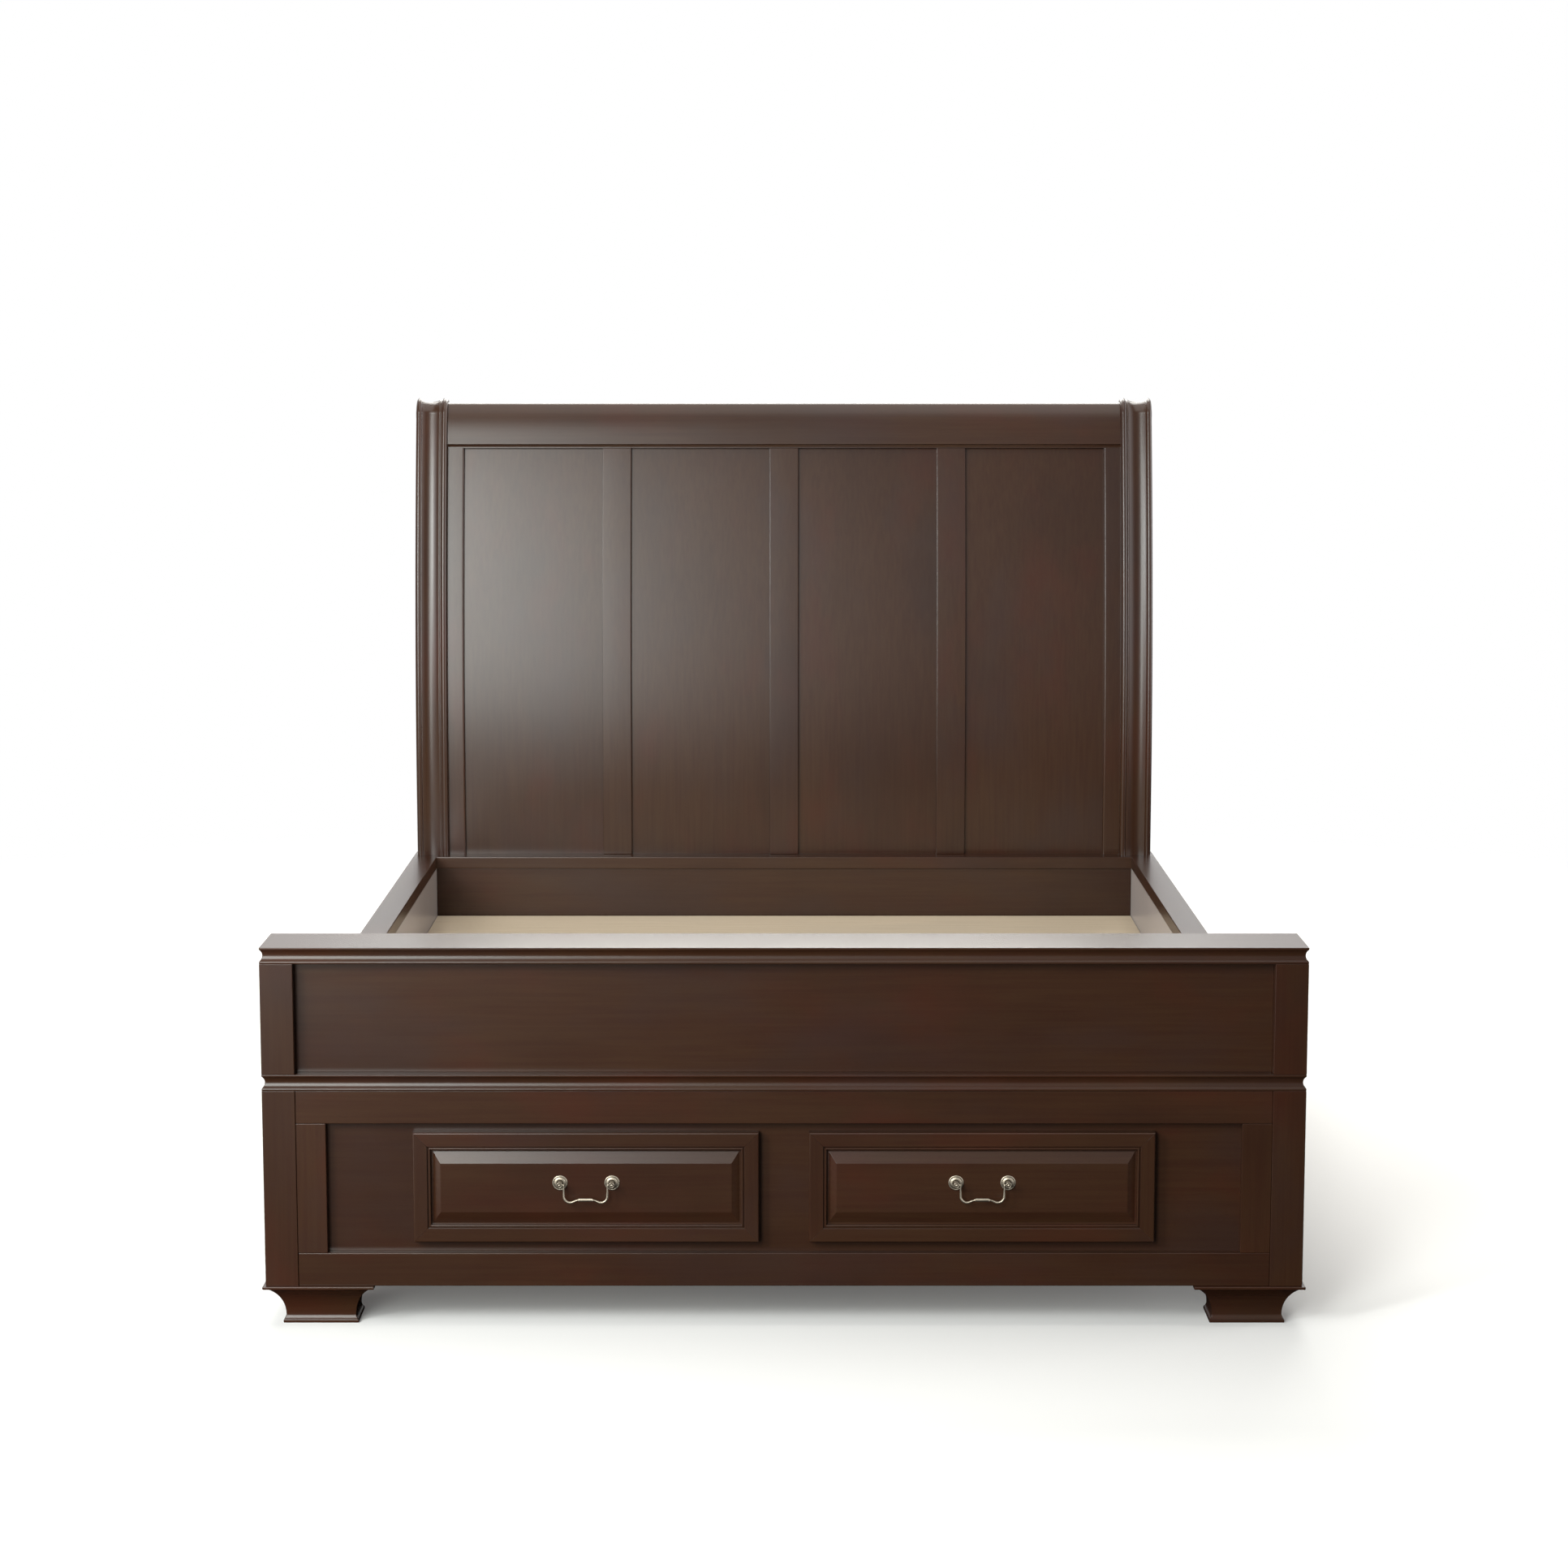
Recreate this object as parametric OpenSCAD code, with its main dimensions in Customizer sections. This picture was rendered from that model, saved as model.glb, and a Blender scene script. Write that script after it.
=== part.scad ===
// Sleigh bed with a panelled footboard that holds two drawers.
// X runs across the bed, Y from the footboard to the headboard, Z up.
// The origin lies on the floor under the middle of the whole bed.

/* [Overall] */
// Width across the corner posts
bed_w = 1640; // [1500:10:1900]
// Length of the mattress well
well_len = 2034; // [1900:1:2150]
// Width of a corner post, which is also the width of a rail cap
post_w = 52; // [48:1:70]
// Height to the top of the rails, of the middle moulding and of the headboard ledge
rail_top = 408.5; // [390:0.5:440]
// Height to the top of the deck
deck_top = 277; // [272:1:300]

/* [Footboard] */
// Height to the top of the footboard
foot_top = 611; // [560:1:700]
// Depth of the footboard from front to back
foot_depth = 126; // [110:1:180]
// How far the upper panel lies behind the posts
upper_recess = 21; // [12:1:30]
// Thickness of the footboard panels
panel_t = 12; // [9:1:18]
// How far the lower frame lies behind the posts
frame_set = 2; // [1:0.5:4]
// Thickness of the lower frame
frame_t = 16; // [12:1:20]
// Height of the top board of the lower frame
frame_head_h = 53; // [35:0.5:60]
// Height of the bottom board of the lower frame
frame_sill_h = 53.5; // [35:0.5:62]
// Width of the upright boards of the lower frame
frame_stile_w = 47; // [35:0.5:90]

/* [Mouldings] */
// Thickness of the caps, the middle moulding and the ledge
cap_t = 26; // [22:0.5:32]
// Height of the hollow along a moulded edge
hollow_h = 19; // [12:0.5:20]
// Depth of the hollow along a moulded edge
hollow_d = 4.7; // [2:0.1:6]
// How far the middle moulding is let into the posts
moulding_let = 8; // [7:0.5:12]

/* [Feet] */
// Height of a front foot
foot_h = 66.7; // [55:0.1:90]
// Length of a front foot across the bed
foot_len = 176.5; // [140:0.5:240]
// How far the top lip of a foot stands out from the post
foot_lip = 5; // [1:0.5:12]
// Thickness of the top lip of a foot
foot_lip_t = 4.7; // [3:0.1:8]
// Radius of the hollow round a foot
foot_hollow_r = 42.5; // [38:0.5:50]
// Height of the narrowest part of a foot
foot_waist_z = 24; // [20:0.5:30]
// How far the waist of a foot lies inside its top lip
foot_waist_in = 33.5; // [25:0.5:40]
// Thickness of the base of a foot
foot_base_t = 5; // [3:0.5:8]
// How far the base of a foot stands out from its waist
foot_base_out = 5; // [2:0.5:10]

/* [Side rails] */
// Height of the rail board below its cap
rail_h = 242; // [220:1:290]
// Thickness of the two walls of a rail
rail_wall = 15; // [12:0.5:18]
// How far the outer face of a rail lies inside its cap
rail_in = 5; // [0:0.5:8]
// Length of the solid block at each end of a rail
rail_block = 90; // [60:1:150]
// Width of the cleat along a rail
cleat_w = 28; // [20:1:40]
// Height of the cleat along a rail
cleat_h = 28; // [20:1:40]
// Number of screws in a cleat
cleat_screws_n = 7; // [4:1:12]
// Distance from the ends of a cleat to its first and last screw
cleat_screw_in = 60; // [30:1:90]

/* [Rail hooks] */
// Width of a hook plate
plate_w = 24; // [20:1:28]
// Height of a hook plate
plate_h = 140; // [110:1:170]
// Thickness of the steel plates
plate_t = 3; // [2:0.5:4]
// Thickness of a hook
hook_t = 2.5; // [2:0.1:4]
// How far a hook reaches into the post
hook_reach = 14; // [10:0.5:20]
// Distance between the two hooks of a plate
hook_pitch = 80; // [60:1:90]

/* [Platform] */
// Thickness of the deck boards
deck_t = 15; // [9:0.5:18]
// Number of deck boards
deck_n = 3; // [1:1:6]
// Gap between the deck boards and round them
deck_gap = 0.8; // [0.5:0.1:4]
// Thickness of the slats
slat_t = 20; // [15:0.5:22]
// Width of the slats
slat_w = 70; // [50:1:100]
// Number of slats
slat_n = 12; // [6:1:18]
// Width of the middle beam
beam_w = 38; // [30:1:60]
// Height of the middle beam
beam_h = 72; // [50:1:100]
// Number of legs under the middle beam
beam_legs_n = 3; // [1:1:5]
// Width of a leg under the middle beam
beam_leg_w = 38; // [25:1:60]

/* [Headboard] */
// Height of the headboard
head_top = 1413; // [1250:1:1600]
// Step from the front of the ledge to the front of the curved posts
ledge_step = 23; // [12:1:40]
// How far the ledge stands out over the board below it
ledge_over = 6; // [3:0.5:12]
// Thickness of the board below the ledge
lower_board_t = 18; // [12:1:25]
// Width of a curved post
curve_post_w = 69; // [60:1:90]
// Depth of a curved post
curve_post_t = 57; // [54:1:66]
// How far a curved post lies inside the end of the ledge
curve_post_in = 7.5; // [4:0.5:14]
// Radius of the backward lean
lean_r = 3600; // [3000:50:6000]
// Height at which the lean starts
lean_z = 520; // [450:1:650]
// Radius of the scroll at the top of a post
scroll_r = 39; // [34:0.5:46]
// Radius of the two beads on a post
bead_r = 7; // [5:0.5:9]
// Depth from the beads down to the edge of the hollow between them
post_hollow_edge = 4; // [2:0.5:5]
// Depth of the hollow below its edge
post_hollow_d = 4.5; // [2:0.5:7]
// Width of the small bead beside the hollow
small_bead_w = 3.6; // [2:0.2:5]
// How far the small bead stands out from the edge of the hollow
small_bead_out = 0.8; // [0.2:0.1:1.2]
// Distance from the small bead to the hollow
small_bead_gap = 0.6; // [0.2:0.1:2]
// Diameter of the turned button on a scroll
button_d = 38; // [24:1:50]
// Thickness of the turned button
button_t = 3; // [2:0.5:5]
// How far the top rail lies behind the posts
top_rail_set = 10; // [6:1:12]
// Distance from the top of the headboard down to the lower edge of the top rail
top_rail_h = 109; // [95:1:160]
// Radius of the hollow along the lower edge of the top rail
top_rail_hollow = 7; // [3:0.5:8]
// How far the stiles and muntins lie behind the posts
muntin_set = 18; // [16:1:20]
// Thickness of the top rail, the stiles and the muntins, back from the stile face
muntin_t = 32; // [28:1:34]
// Width of a muntin
muntin_w = 63; // [40:1:80]
// Width of an outer stile
stile_w = 36.5; // [25:0.5:60]
// How far the headboard panels lie behind the muntins
head_panel_set = 10; // [6:1:12]
// Thickness of the headboard panels
head_panel_t = 9; // [6:0.5:12]
// Depth of the grooves that hold the headboard panels
groove_d = 8; // [5:0.5:10]
// Height of the tenon below a curved post
tenon_h = 70; // [40:1:100]

/* [Drawers] */
// Width of a drawer front
front_w = 545; // [440:1:580]
// Height of a drawer front
front_h = 177; // [150:1:182]
// Height of the lower edge of a drawer front
front_z = 138; // [130:1:142]
// Distance between the two drawer fronts
front_apart = 79; // [70:1:120]
// Thickness of the mitred frame of a drawer front
front_t = 17; // [14:0.5:17.5]
// Gap between a drawer front and the panel behind it
front_gap = 0.4; // [0.3:0.1:1]
// Width of the mitred frame
mitre_w = 24.5; // [18:0.5:34]
// Width of the groove between the frame and the raised panel
quirk_w = 4.5; // [3:0.5:8]
// Depth of the groove between the frame and the raised panel
quirk_d = 8; // [5:0.5:10]
// Height of the upper and lower bevels of the raised panel
bevel_h = 19.5; // [10:0.5:26]
// Width of the side bevels of the raised panel
bevel_w = 13; // [8:0.5:30]
// Width of the rebate that holds the raised panel in its frame
field_rebate = 4; // [2:0.5:8]
// How far the raised field lies behind the frame
field_set = 1; // [0:0.5:3]
// How far a drawer front covers the panel at each side
cover_side = 24.5; // [18:0.5:40]
// How far a drawer front covers the panel below
cover_below = 8; // [5:0.5:14]
// Clearance round the drawer box
box_clear = 2; // [1.5:0.5:4]
// Height of the drawer box
box_h = 88; // [70:1:90]
// Length of the drawer box
box_len = 500; // [460:1:700]
// Thickness of the drawer box boards
box_wall = 12; // [10:0.5:15]
// Thickness of the drawer bottom
bottom_t = 6; // [4:0.5:8]
// Height of the drawer bottom above the lower edge of the box
bottom_lift = 6; // [4:0.5:12]
// Depth of the groove that holds the drawer bottom
bottom_groove = 6; // [4:0.5:8]
// Thickness of the panels beside the drawers
bay_wall = 15; // [12:0.5:18]
// How far these panels reach below the drawer opening
bay_wall_below = 12; // [0:1:40]
// Thickness of the rail behind the drawers
bay_rail_t = 18; // [15:1:25]
// Room behind a closed drawer
bay_room = 30; // [10:1:80]

/* [Slides] */
// Room for a slide between the drawer box and its panel
slide_room = 13; // [12.5:0.1:16]
// Length of a slide
slide_len = 450; // [400:10:450]
// Distance from the panel behind the drawer fronts to the slides
slide_set = 4; // [2:0.5:10]
// Height of a slide
slide_h = 45; // [35:1:60]
// Thickness of the slide steel
slide_steel = 1.2; // [1:0.1:1.5]
// Thickness of the ball strips on the middle member
ball_strip = 2.6; // [2:0.1:4]
// Running gap between the members
slide_gap = 0.35; // [0.3:0.05:0.8]

/* [Pulls] */
// Distance between the two posts of a pull
pull_cc = 82; // [64:1:160]
// Height of the pull above the lower edge of the drawer front
pull_z = 96.5; // [80:0.5:110]
// Diameter of a rosette
rosette_d = 24; // [18:0.5:30]
// Thickness of a rosette
rosette_t = 4.5; // [3:0.5:8]
// Distance from the raised field to the pivot of the bail
pull_reach = 15; // [12:0.5:24]
// Diameter of the knob on a pull post
knob_d = 9; // [8:0.5:12]
// Diameter of the bail wire
wire_d = 3.4; // [2.6:0.1:4]
// Diameter of the pins at the ends of the bail
pin_d = 2.4; // [2:0.1:2.6]
// Radial clearance round the pins
pin_clear = 0.06; // [0.02:0.01:0.1]
// Distance of each bail arm from the middle of its post
arm_in = 6.6; // [6:0.1:10]
// How far the bail hangs below its pivot
bail_drop = 30; // [22:0.5:45]
// Radius of the lower bends of the bail
bail_bend = 9; // [6:0.5:12]
// Rise from the lower bends to the grip
grip_rise = 4; // [0:0.5:6]
// Length of the grip
grip_len = 20; // [12:1:30]
// Diameter of the grip
grip_d = 4.8; // [4:0.1:7]

/* [Hidden] */

// Finishes
dark_cherry = [0.24, 0.16, 0.13];
raw_board = [0.73, 0.66, 0.55];
pale_wood = [0.72, 0.58, 0.42];
zinc_steel = [0.62, 0.63, 0.65];
old_nickel = [0.55, 0.50, 0.43];

// Fineness of round shapes
round_fn = 48;
scroll_fn = 96;
lean_fn = 720;

// Hairline glue gap between glued boards, and the play of a piece in its groove
glue_gap = 0.15;
groove_play = 0.3;
// Length by which a cut runs past a face
past = 1;
// A step too small to see, by which a scroll stands proud of the piece that runs into it
hair = 0.1;
scroll_core_r = 4;

// Across the bed
post_x = bed_w / 2;
well_x = post_x - post_w;

// Heights
moulding_z = rail_top - cap_t;
cap_z = foot_top - cap_t;
rail_z = moulding_z - rail_h;
slat_top = deck_top - deck_t;
slat_z = slat_top - slat_t;
beam_z = slat_z - beam_h;

// Along the bed
ledge_y = foot_depth + well_len;
lower_board_y = ledge_y + ledge_over;
head_y = ledge_y + ledge_step;
head_back = head_y + curve_post_t;

// Curve of the headboard, seen from the side
scroll_z = head_top - scroll_r - hair;
scroll_angle = asin((scroll_z - lean_z) / (lean_r - scroll_r));
scroll_y = head_y + lean_r - (lean_r - scroll_r) * cos(scroll_angle);
scroll_back = scroll_y + scroll_r + hair;
rail_edge_angle = asin((head_top - top_rail_h - lean_z) / (lean_r - muntin_set));
muntin_back = muntin_set + muntin_t;
groove_angle = groove_d / lean_r * 180 / PI;
tongue_angle = (groove_d - groove_play) / lean_r * 180 / PI;

// Headboard panels
curve_post_x = post_x - curve_post_in - curve_post_w;
top_rail_x = curve_post_x - hair;
stile_x = curve_post_x - stile_w;
panel_open = (2 * stile_x - 3 * muntin_w) / 4;
panel_pitch = panel_open + muntin_w;
panel_front = muntin_set + head_panel_set;
// Tenon of a curved post, as distances from the outer side and the front of the post
tenon_w = 28;
tenon_t = 24;
tenon_in = 8;
tenon_back = 16;

// Footboard
surround_y = frame_set + frame_t;
bay_front = surround_y + panel_t;

// Drawers
drawer_x = front_apart / 2 + front_w / 2;
bay_half = front_w / 2 - cover_side;
box_half = bay_half - slide_room;
bay_z = front_z + cover_below;
box_z = bay_z + box_clear;
bay_top = box_z + box_h + box_clear;
front_back_y = surround_y - front_gap;
front_y = front_back_y - front_t;
field_y = front_y + field_set;
bay_len = front_back_y + box_len + bay_room - bay_front;
bay_back = bay_front + bay_len;
bay_wall_z = bay_z - bay_wall_below;

// Slides, measured from the bay panel towards the drawer box
slide_z = box_z + box_h / 2;
slide_y = bay_front + slide_set;
middle_h = slide_h - 2 * (slide_steel + slide_gap);
inner_h = middle_h - 2 * (ball_strip + slide_gap);
middle_from = slide_steel + slide_gap;
middle_to = slide_room - slide_steel - slide_gap;

// Pulls
pull_height = front_z + pull_z;
pivot_y = field_y - pull_reach;
arm_x = pull_cc / 2 - arm_in;
pin_len = arm_in;
low_z = -bail_drop + wire_d / 2;
bend_x = arm_x - bail_bend;

// The middle of the whole bed along Y, between the knobs or the feet and the scrolls
middle_y = (scroll_back + min(-foot_lip, pivot_y - knob_d / 2)) / 2;

// Moves from the footboard's front corner to the middle of the bed
module placed() {
    translate([0, -middle_y, 0]) children();
}

module side(s) {
    mirror([s < 0 ? 1 : 0, 0, 0]) children();
}

// A box between two corners
module block(from, to) {
    translate(from) cube(to - from);
}

// A rectangle between two corners, which it meets exactly
module rectangle(from, to) {
    polygon([from, [to[0], from[1]], to, [from[0], to[1]]]);
}

// Cuts that make the hollow along the front and the two ends of a slab
module edge_hollow(half, from_y, z, front = true) {
    r = (pow(hollow_h / 2, 2) + pow(hollow_d, 2)) / (2 * hollow_d);
    out = r - hollow_d;
    mid = z + cap_t / 2;
    if (front)
        translate([-half - 2 * r, from_y - out, mid]) rotate([0, 90, 0])
            cylinder(r = r, h = 2 * half + 4 * r, $fn = round_fn);
    for (s = [-1, 1])
        translate([s * (half + out), from_y - 2 * r, mid]) rotate([-90, 0, 0])
            cylinder(r = r, h = head_back - from_y + 4 * r, $fn = round_fn);
}

// Footboard
module footboard_post() {
    color(dark_cherry) difference() {
        block([well_x, 0, foot_h], [post_x, foot_depth, cap_z]);
        block([well_x - past, -past, moulding_z], [post_x + past, moulding_let, rail_top]);
        block([post_x - moulding_let, -past, moulding_z], [post_x + past, foot_depth + past, rail_top]);
        translate([0, foot_depth, 0]) hook_pocket();
    }
}

module footboard_cap() {
    color(dark_cherry) difference() {
        block([-post_x, 0, cap_z], [post_x, foot_depth, foot_top]);
        edge_hollow(post_x, 0, cap_z);
    }
}

module middle_moulding() {
    back = upper_recess + panel_t;
    color(dark_cherry) difference() {
        union() {
            block([-post_x, 0, moulding_z], [post_x, back, rail_top]);
            for (s = [-1, 1])
                side(s) block([post_x - moulding_let, 0, moulding_z], [post_x, foot_depth, rail_top]);
        }
        for (s = [-1, 1])
            side(s) block([well_x, moulding_let, moulding_z - past],
                          [post_x - moulding_let, foot_depth + past, rail_top + past]);
        edge_hollow(post_x, 0, moulding_z);
    }
}

module footboard_upper_panel() {
    color(dark_cherry)
        block([-well_x, upper_recess, rail_top], [well_x, upper_recess + panel_t, cap_z]);
}

module footboard_back_panel() {
    color(dark_cherry)
        block([-well_x, foot_depth - panel_t, slat_z + box_clear], [well_x, foot_depth, cap_z]);
}

module drawer_surround_panel() {
    color(dark_cherry) difference() {
        block([-well_x, surround_y, foot_h], [well_x, bay_front, moulding_z]);
        for (s = [-1, 1])
            translate([s * drawer_x, 0, 0])
                block([-bay_half, surround_y - past, bay_z], [bay_half, bay_front + past, bay_top]);
    }
}

module frame_head() {
    color(dark_cherry)
        block([-well_x, frame_set, moulding_z - frame_head_h], [well_x, surround_y, moulding_z]);
}

module frame_sill() {
    color(dark_cherry)
        block([-well_x, frame_set, foot_h], [well_x, surround_y, foot_h + frame_sill_h]);
}

module frame_stile() {
    color(dark_cherry)
        block([well_x - frame_stile_w, frame_set, foot_h + frame_sill_h],
              [well_x, surround_y, moulding_z - frame_head_h]);
}

// A foot is a block hollowed along all four sides between a top lip and a base
module front_foot() {
    right = post_x + foot_lip;
    left = right - foot_len;
    back = foot_depth + foot_lip;
    base_in = foot_waist_in - foot_base_out;
    out = foot_hollow_r - foot_waist_in;
    reach = 2 * foot_hollow_r;
    color(dark_cherry) {
        block([left, -foot_lip, foot_h - foot_lip_t], [right, back, foot_h]);
        block([left + base_in, -foot_lip + base_in, 0], [right - base_in, back - base_in, foot_base_t]);
        difference() {
            block([left, -foot_lip, foot_base_t], [right, back, foot_h - foot_lip_t]);
            for (x = [left - out, right + out])
                translate([x, -foot_lip - reach, foot_waist_z]) rotate([-90, 0, 0])
                    cylinder(r = foot_hollow_r, h = back + foot_lip + 2 * reach, $fn = scroll_fn);
            for (y = [-foot_lip - out, back + out])
                translate([left - reach, y, foot_waist_z]) rotate([0, 90, 0])
                    cylinder(r = foot_hollow_r, h = foot_len + 2 * reach, $fn = scroll_fn);
        }
    }
}

// Side rails
module side_rail() {
    outer = post_x - rail_in;
    color(dark_cherry) difference() {
        block([well_x, foot_depth, rail_z], [outer, lower_board_y, moulding_z]);
        block([well_x + rail_wall, foot_depth + rail_block, rail_z + rail_wall],
              [outer - rail_wall, lower_board_y - rail_block, moulding_z + past]);
        translate([0, foot_depth, 0]) plate_pocket();
        translate([0, lower_board_y, 0]) mirror([0, 1, 0]) plate_pocket();
    }
}

module rail_caps() {
    color(dark_cherry) difference() {
        for (s = [-1, 1])
            side(s) block([well_x, foot_depth, moulding_z], [post_x, ledge_y, rail_top]);
        edge_hollow(post_x, 0, moulding_z, front = false);
    }
}

module rail_cleats() {
    color(pale_wood) for (s = [-1, 1])
        side(s) block([well_x - cleat_w, foot_depth, slat_z - cleat_h], [well_x, lower_board_y, slat_z]);
}

module cleat_screws() {
    first = foot_depth + cleat_screw_in;
    pitch = (lower_board_y - cleat_screw_in - first) / (cleat_screws_n - 1);
    shank_r = 2;
    head_r = 4;
    head_t = 2;
    into_rail = rail_wall * 0.8;
    color(zinc_steel) for (s = [-1, 1], i = [0 : cleat_screws_n - 1])
        side(s) translate([well_x - cleat_w, first + pitch * i, slat_z - cleat_h / 2])
            rotate([0, 90, 0]) {
                translate([0, 0, -head_t]) cylinder(r = head_r, h = head_t, $fn = round_fn);
                cylinder(r = shank_r, h = cleat_w + into_rail, $fn = round_fn);
            }
}

// Rail hooks. A joint face lies at y = 0 with the rail towards +Y and the post towards -Y
hook_x = well_x + (post_w - rail_in) / 2;
plate_z = rail_z + (rail_h - plate_h) / 2;
hook_h = 22;
hook_drop = 8;
hook_lip = 6;
slot_play = 1.5;

module hooks_at() {
    for (i = [-1, 1])
        translate([hook_x, 0, plate_z + plate_h / 2 + i * hook_pitch / 2]) children();
}

module plate_pocket() {
    block([hook_x - plate_w / 2, -past, plate_z], [hook_x + plate_w / 2, plate_t, plate_z + plate_h]);
}

module hook_pocket() {
    mirror([0, 1, 0]) plate_pocket();
    hooks_at() block([-hook_t / 2 - slot_play, -hook_reach - slot_play,
                      -hook_h / 2 - hook_drop - slot_play],
                     [hook_t / 2 + slot_play, 0, hook_h / 2 + slot_play]);
}

module hook_plate() {
    block([hook_x - plate_w / 2, 0, plate_z], [hook_x + plate_w / 2, plate_t, plate_z + plate_h]);
    hooks_at() {
        block([-hook_t / 2, -hook_reach, -hook_h / 2], [hook_t / 2, past, hook_h / 2]);
        block([-hook_t / 2, -hook_reach, -hook_h / 2 - hook_drop], [hook_t / 2, -hook_reach + hook_lip, 0]);
    }
}

module slot_plate() {
    difference() {
        block([hook_x - plate_w / 2, -plate_t, plate_z], [hook_x + plate_w / 2, 0, plate_z + plate_h]);
        hooks_at() block([-hook_t / 2 - slot_play, -plate_t - past, -hook_h / 2 - hook_drop - slot_play],
                         [hook_t / 2 + slot_play, past, hook_h / 2 + slot_play]);
    }
}

// Places a joint at both ends of both rails
module rail_joints() {
    for (s = [-1, 1])
        side(s) {
            translate([0, foot_depth, 0]) children();
            translate([0, lower_board_y, 0]) mirror([0, 1, 0]) children();
        }
}

module rail_hook_plates() {
    color(zinc_steel) rail_joints() hook_plate();
}

module post_slot_plates() {
    color(zinc_steel) rail_joints() slot_plate();
}

// Platform
module deck_boards() {
    inner = well_x - deck_gap;
    pitch = (well_len - deck_gap) / deck_n;
    color(raw_board) for (i = [0 : deck_n - 1])
        translate([0, foot_depth + deck_gap + pitch * i, 0])
            block([-inner, 0, slat_top], [inner, pitch - deck_gap, deck_top]);
}

module cross_slats() {
    pitch = (well_len - slat_w - 2 * deck_gap) / (slat_n - 1);
    color(pale_wood) for (i = [0 : slat_n - 1])
        translate([0, foot_depth + deck_gap + pitch * i, 0])
            block([-well_x + deck_gap, 0, slat_z], [well_x - deck_gap, slat_w, slat_top]);
}

module middle_beam() {
    color(pale_wood)
        block([-beam_w / 2, bay_back + bay_rail_t, beam_z], [beam_w / 2, lower_board_y, slat_z]);
}

module beam_legs() {
    start = bay_back + bay_rail_t;
    pitch = (lower_board_y - start) / beam_legs_n;
    color(pale_wood) for (i = [0 : beam_legs_n - 1])
        translate([0, start + pitch * (i + 0.5), 0])
            block([-beam_leg_w / 2, -beam_leg_w / 2, 0], [beam_leg_w / 2, beam_leg_w / 2, beam_z]);
}

// Drawer bay
module drawer_bay_panels() {
    color(pale_wood) for (s = [-1, 1])
        translate([s * drawer_x, 0, 0]) for (t = [-1, 1])
            side(t) block([bay_half, bay_front, bay_wall_z], [bay_half + bay_wall, bay_back, slat_z]);
}

module bay_rear_rail() {
    inner = well_x - cleat_w;
    color(pale_wood)
        block([-inner, bay_back, min(bay_wall_z, beam_z)], [inner, bay_back + bay_rail_t, slat_z]);
}

// One board of the mitred drawer front, lying along X with its outer edge at y = 0
module mitred_board(len) {
    polygon([[-len / 2 + glue_gap, 0], [len / 2 - glue_gap, 0],
             [len / 2 - mitre_w - glue_gap, mitre_w], [-len / 2 + mitre_w + glue_gap, mitre_w]]);
}

// Turns a shape drawn in X and Z, seen from the front, into a slab between two depths
module slab(from_y, to_y) {
    translate([0, to_y, 0]) rotate([90, 0, 0]) linear_extrude(to_y - from_y) children();
}

module drawer_frame() {
    inner = front_w / 2 - mitre_w + field_rebate;
    low = front_z + mitre_w - field_rebate;
    high = front_z + front_h - mitre_w + field_rebate;
    color(dark_cherry) difference() {
        translate([0, 0, front_z]) slab(front_y, front_back_y) {
            mitred_board(front_w);
            translate([0, front_h]) mirror([0, 1]) mitred_board(front_w);
            for (s = [-1, 1])
                translate([s * front_w / 2, front_h / 2]) rotate(90 * s) mitred_board(front_h);
        }
        block([-inner, front_y + quirk_d, low], [inner, front_back_y + past, high]);
    }
}

// Raised panel, held in the rebate of the frame
module drawer_field() {
    rebate = field_rebate - groove_play;
    half = front_w / 2 - mitre_w;
    low = front_z + mitre_w;
    high = front_z + front_h - mitre_w;
    edge_y = front_y + quirk_d;
    ground_y = edge_y + groove_play;
    color(dark_cherry) {
        block([-half - rebate, ground_y, low - rebate], [half + rebate, front_back_y, high + rebate]);
        intersection() {
            rotate([90, 0, 90]) translate([0, 0, -half]) linear_extrude(2 * half)
                polygon([[ground_y + past, low + quirk_w], [edge_y, low + quirk_w],
                         [field_y, low + quirk_w + bevel_h], [field_y, high - quirk_w - bevel_h],
                         [edge_y, high - quirk_w], [ground_y + past, high - quirk_w]]);
            translate([0, 0, low]) linear_extrude(high - low)
                polygon([[-half + quirk_w, ground_y + past], [-half + quirk_w, edge_y],
                         [-half + quirk_w + bevel_w, field_y], [half - quirk_w - bevel_w, field_y],
                         [half - quirk_w, edge_y], [half - quirk_w, ground_y + past]]);
        }
    }
}

module drawer_box() {
    from = front_back_y;
    to = front_back_y + box_len;
    top = box_z + box_h;
    inner = box_half - box_wall - glue_gap;
    color(pale_wood) difference() {
        union() {
            for (s = [-1, 1])
                side(s) block([box_half - box_wall, from, box_z], [box_half, to, top]);
            block([-inner, from, box_z], [inner, from + box_wall, top]);
            block([-inner, to - box_wall, box_z], [inner, to, top]);
        }
        bottom_space(0);
    }
}

module bottom_space(play) {
    half = box_half - box_wall + bottom_groove - play;
    from = front_back_y + box_wall - bottom_groove + play;
    to = front_back_y + box_len - box_wall + bottom_groove - play;
    z = box_z + bottom_lift;
    block([-half, from, z], [half, to, z + bottom_t - play]);
}

module drawer_bottom() {
    color(raw_board) bottom_space(groove_play);
}

// A slide member is a channel: its web lies at one depth and its flanges reach to another
module channel(web_from, web_to, flange_from, flange_to, h, flange_t) {
    block([web_from, slide_y, slide_z - h / 2], [web_to, slide_y + slide_len, slide_z + h / 2]);
    for (z = [slide_z - h / 2, slide_z + h / 2 - flange_t])
        block([flange_from, slide_y, z], [flange_to, slide_y + slide_len, z + flange_t]);
}

// Places a member drawn from the bay panel inwards at both sides of a drawer
module at_slides() {
    for (t = [-1, 1])
        side(t) translate([bay_half, 0, 0]) mirror([1, 0, 0]) children();
}

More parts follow.
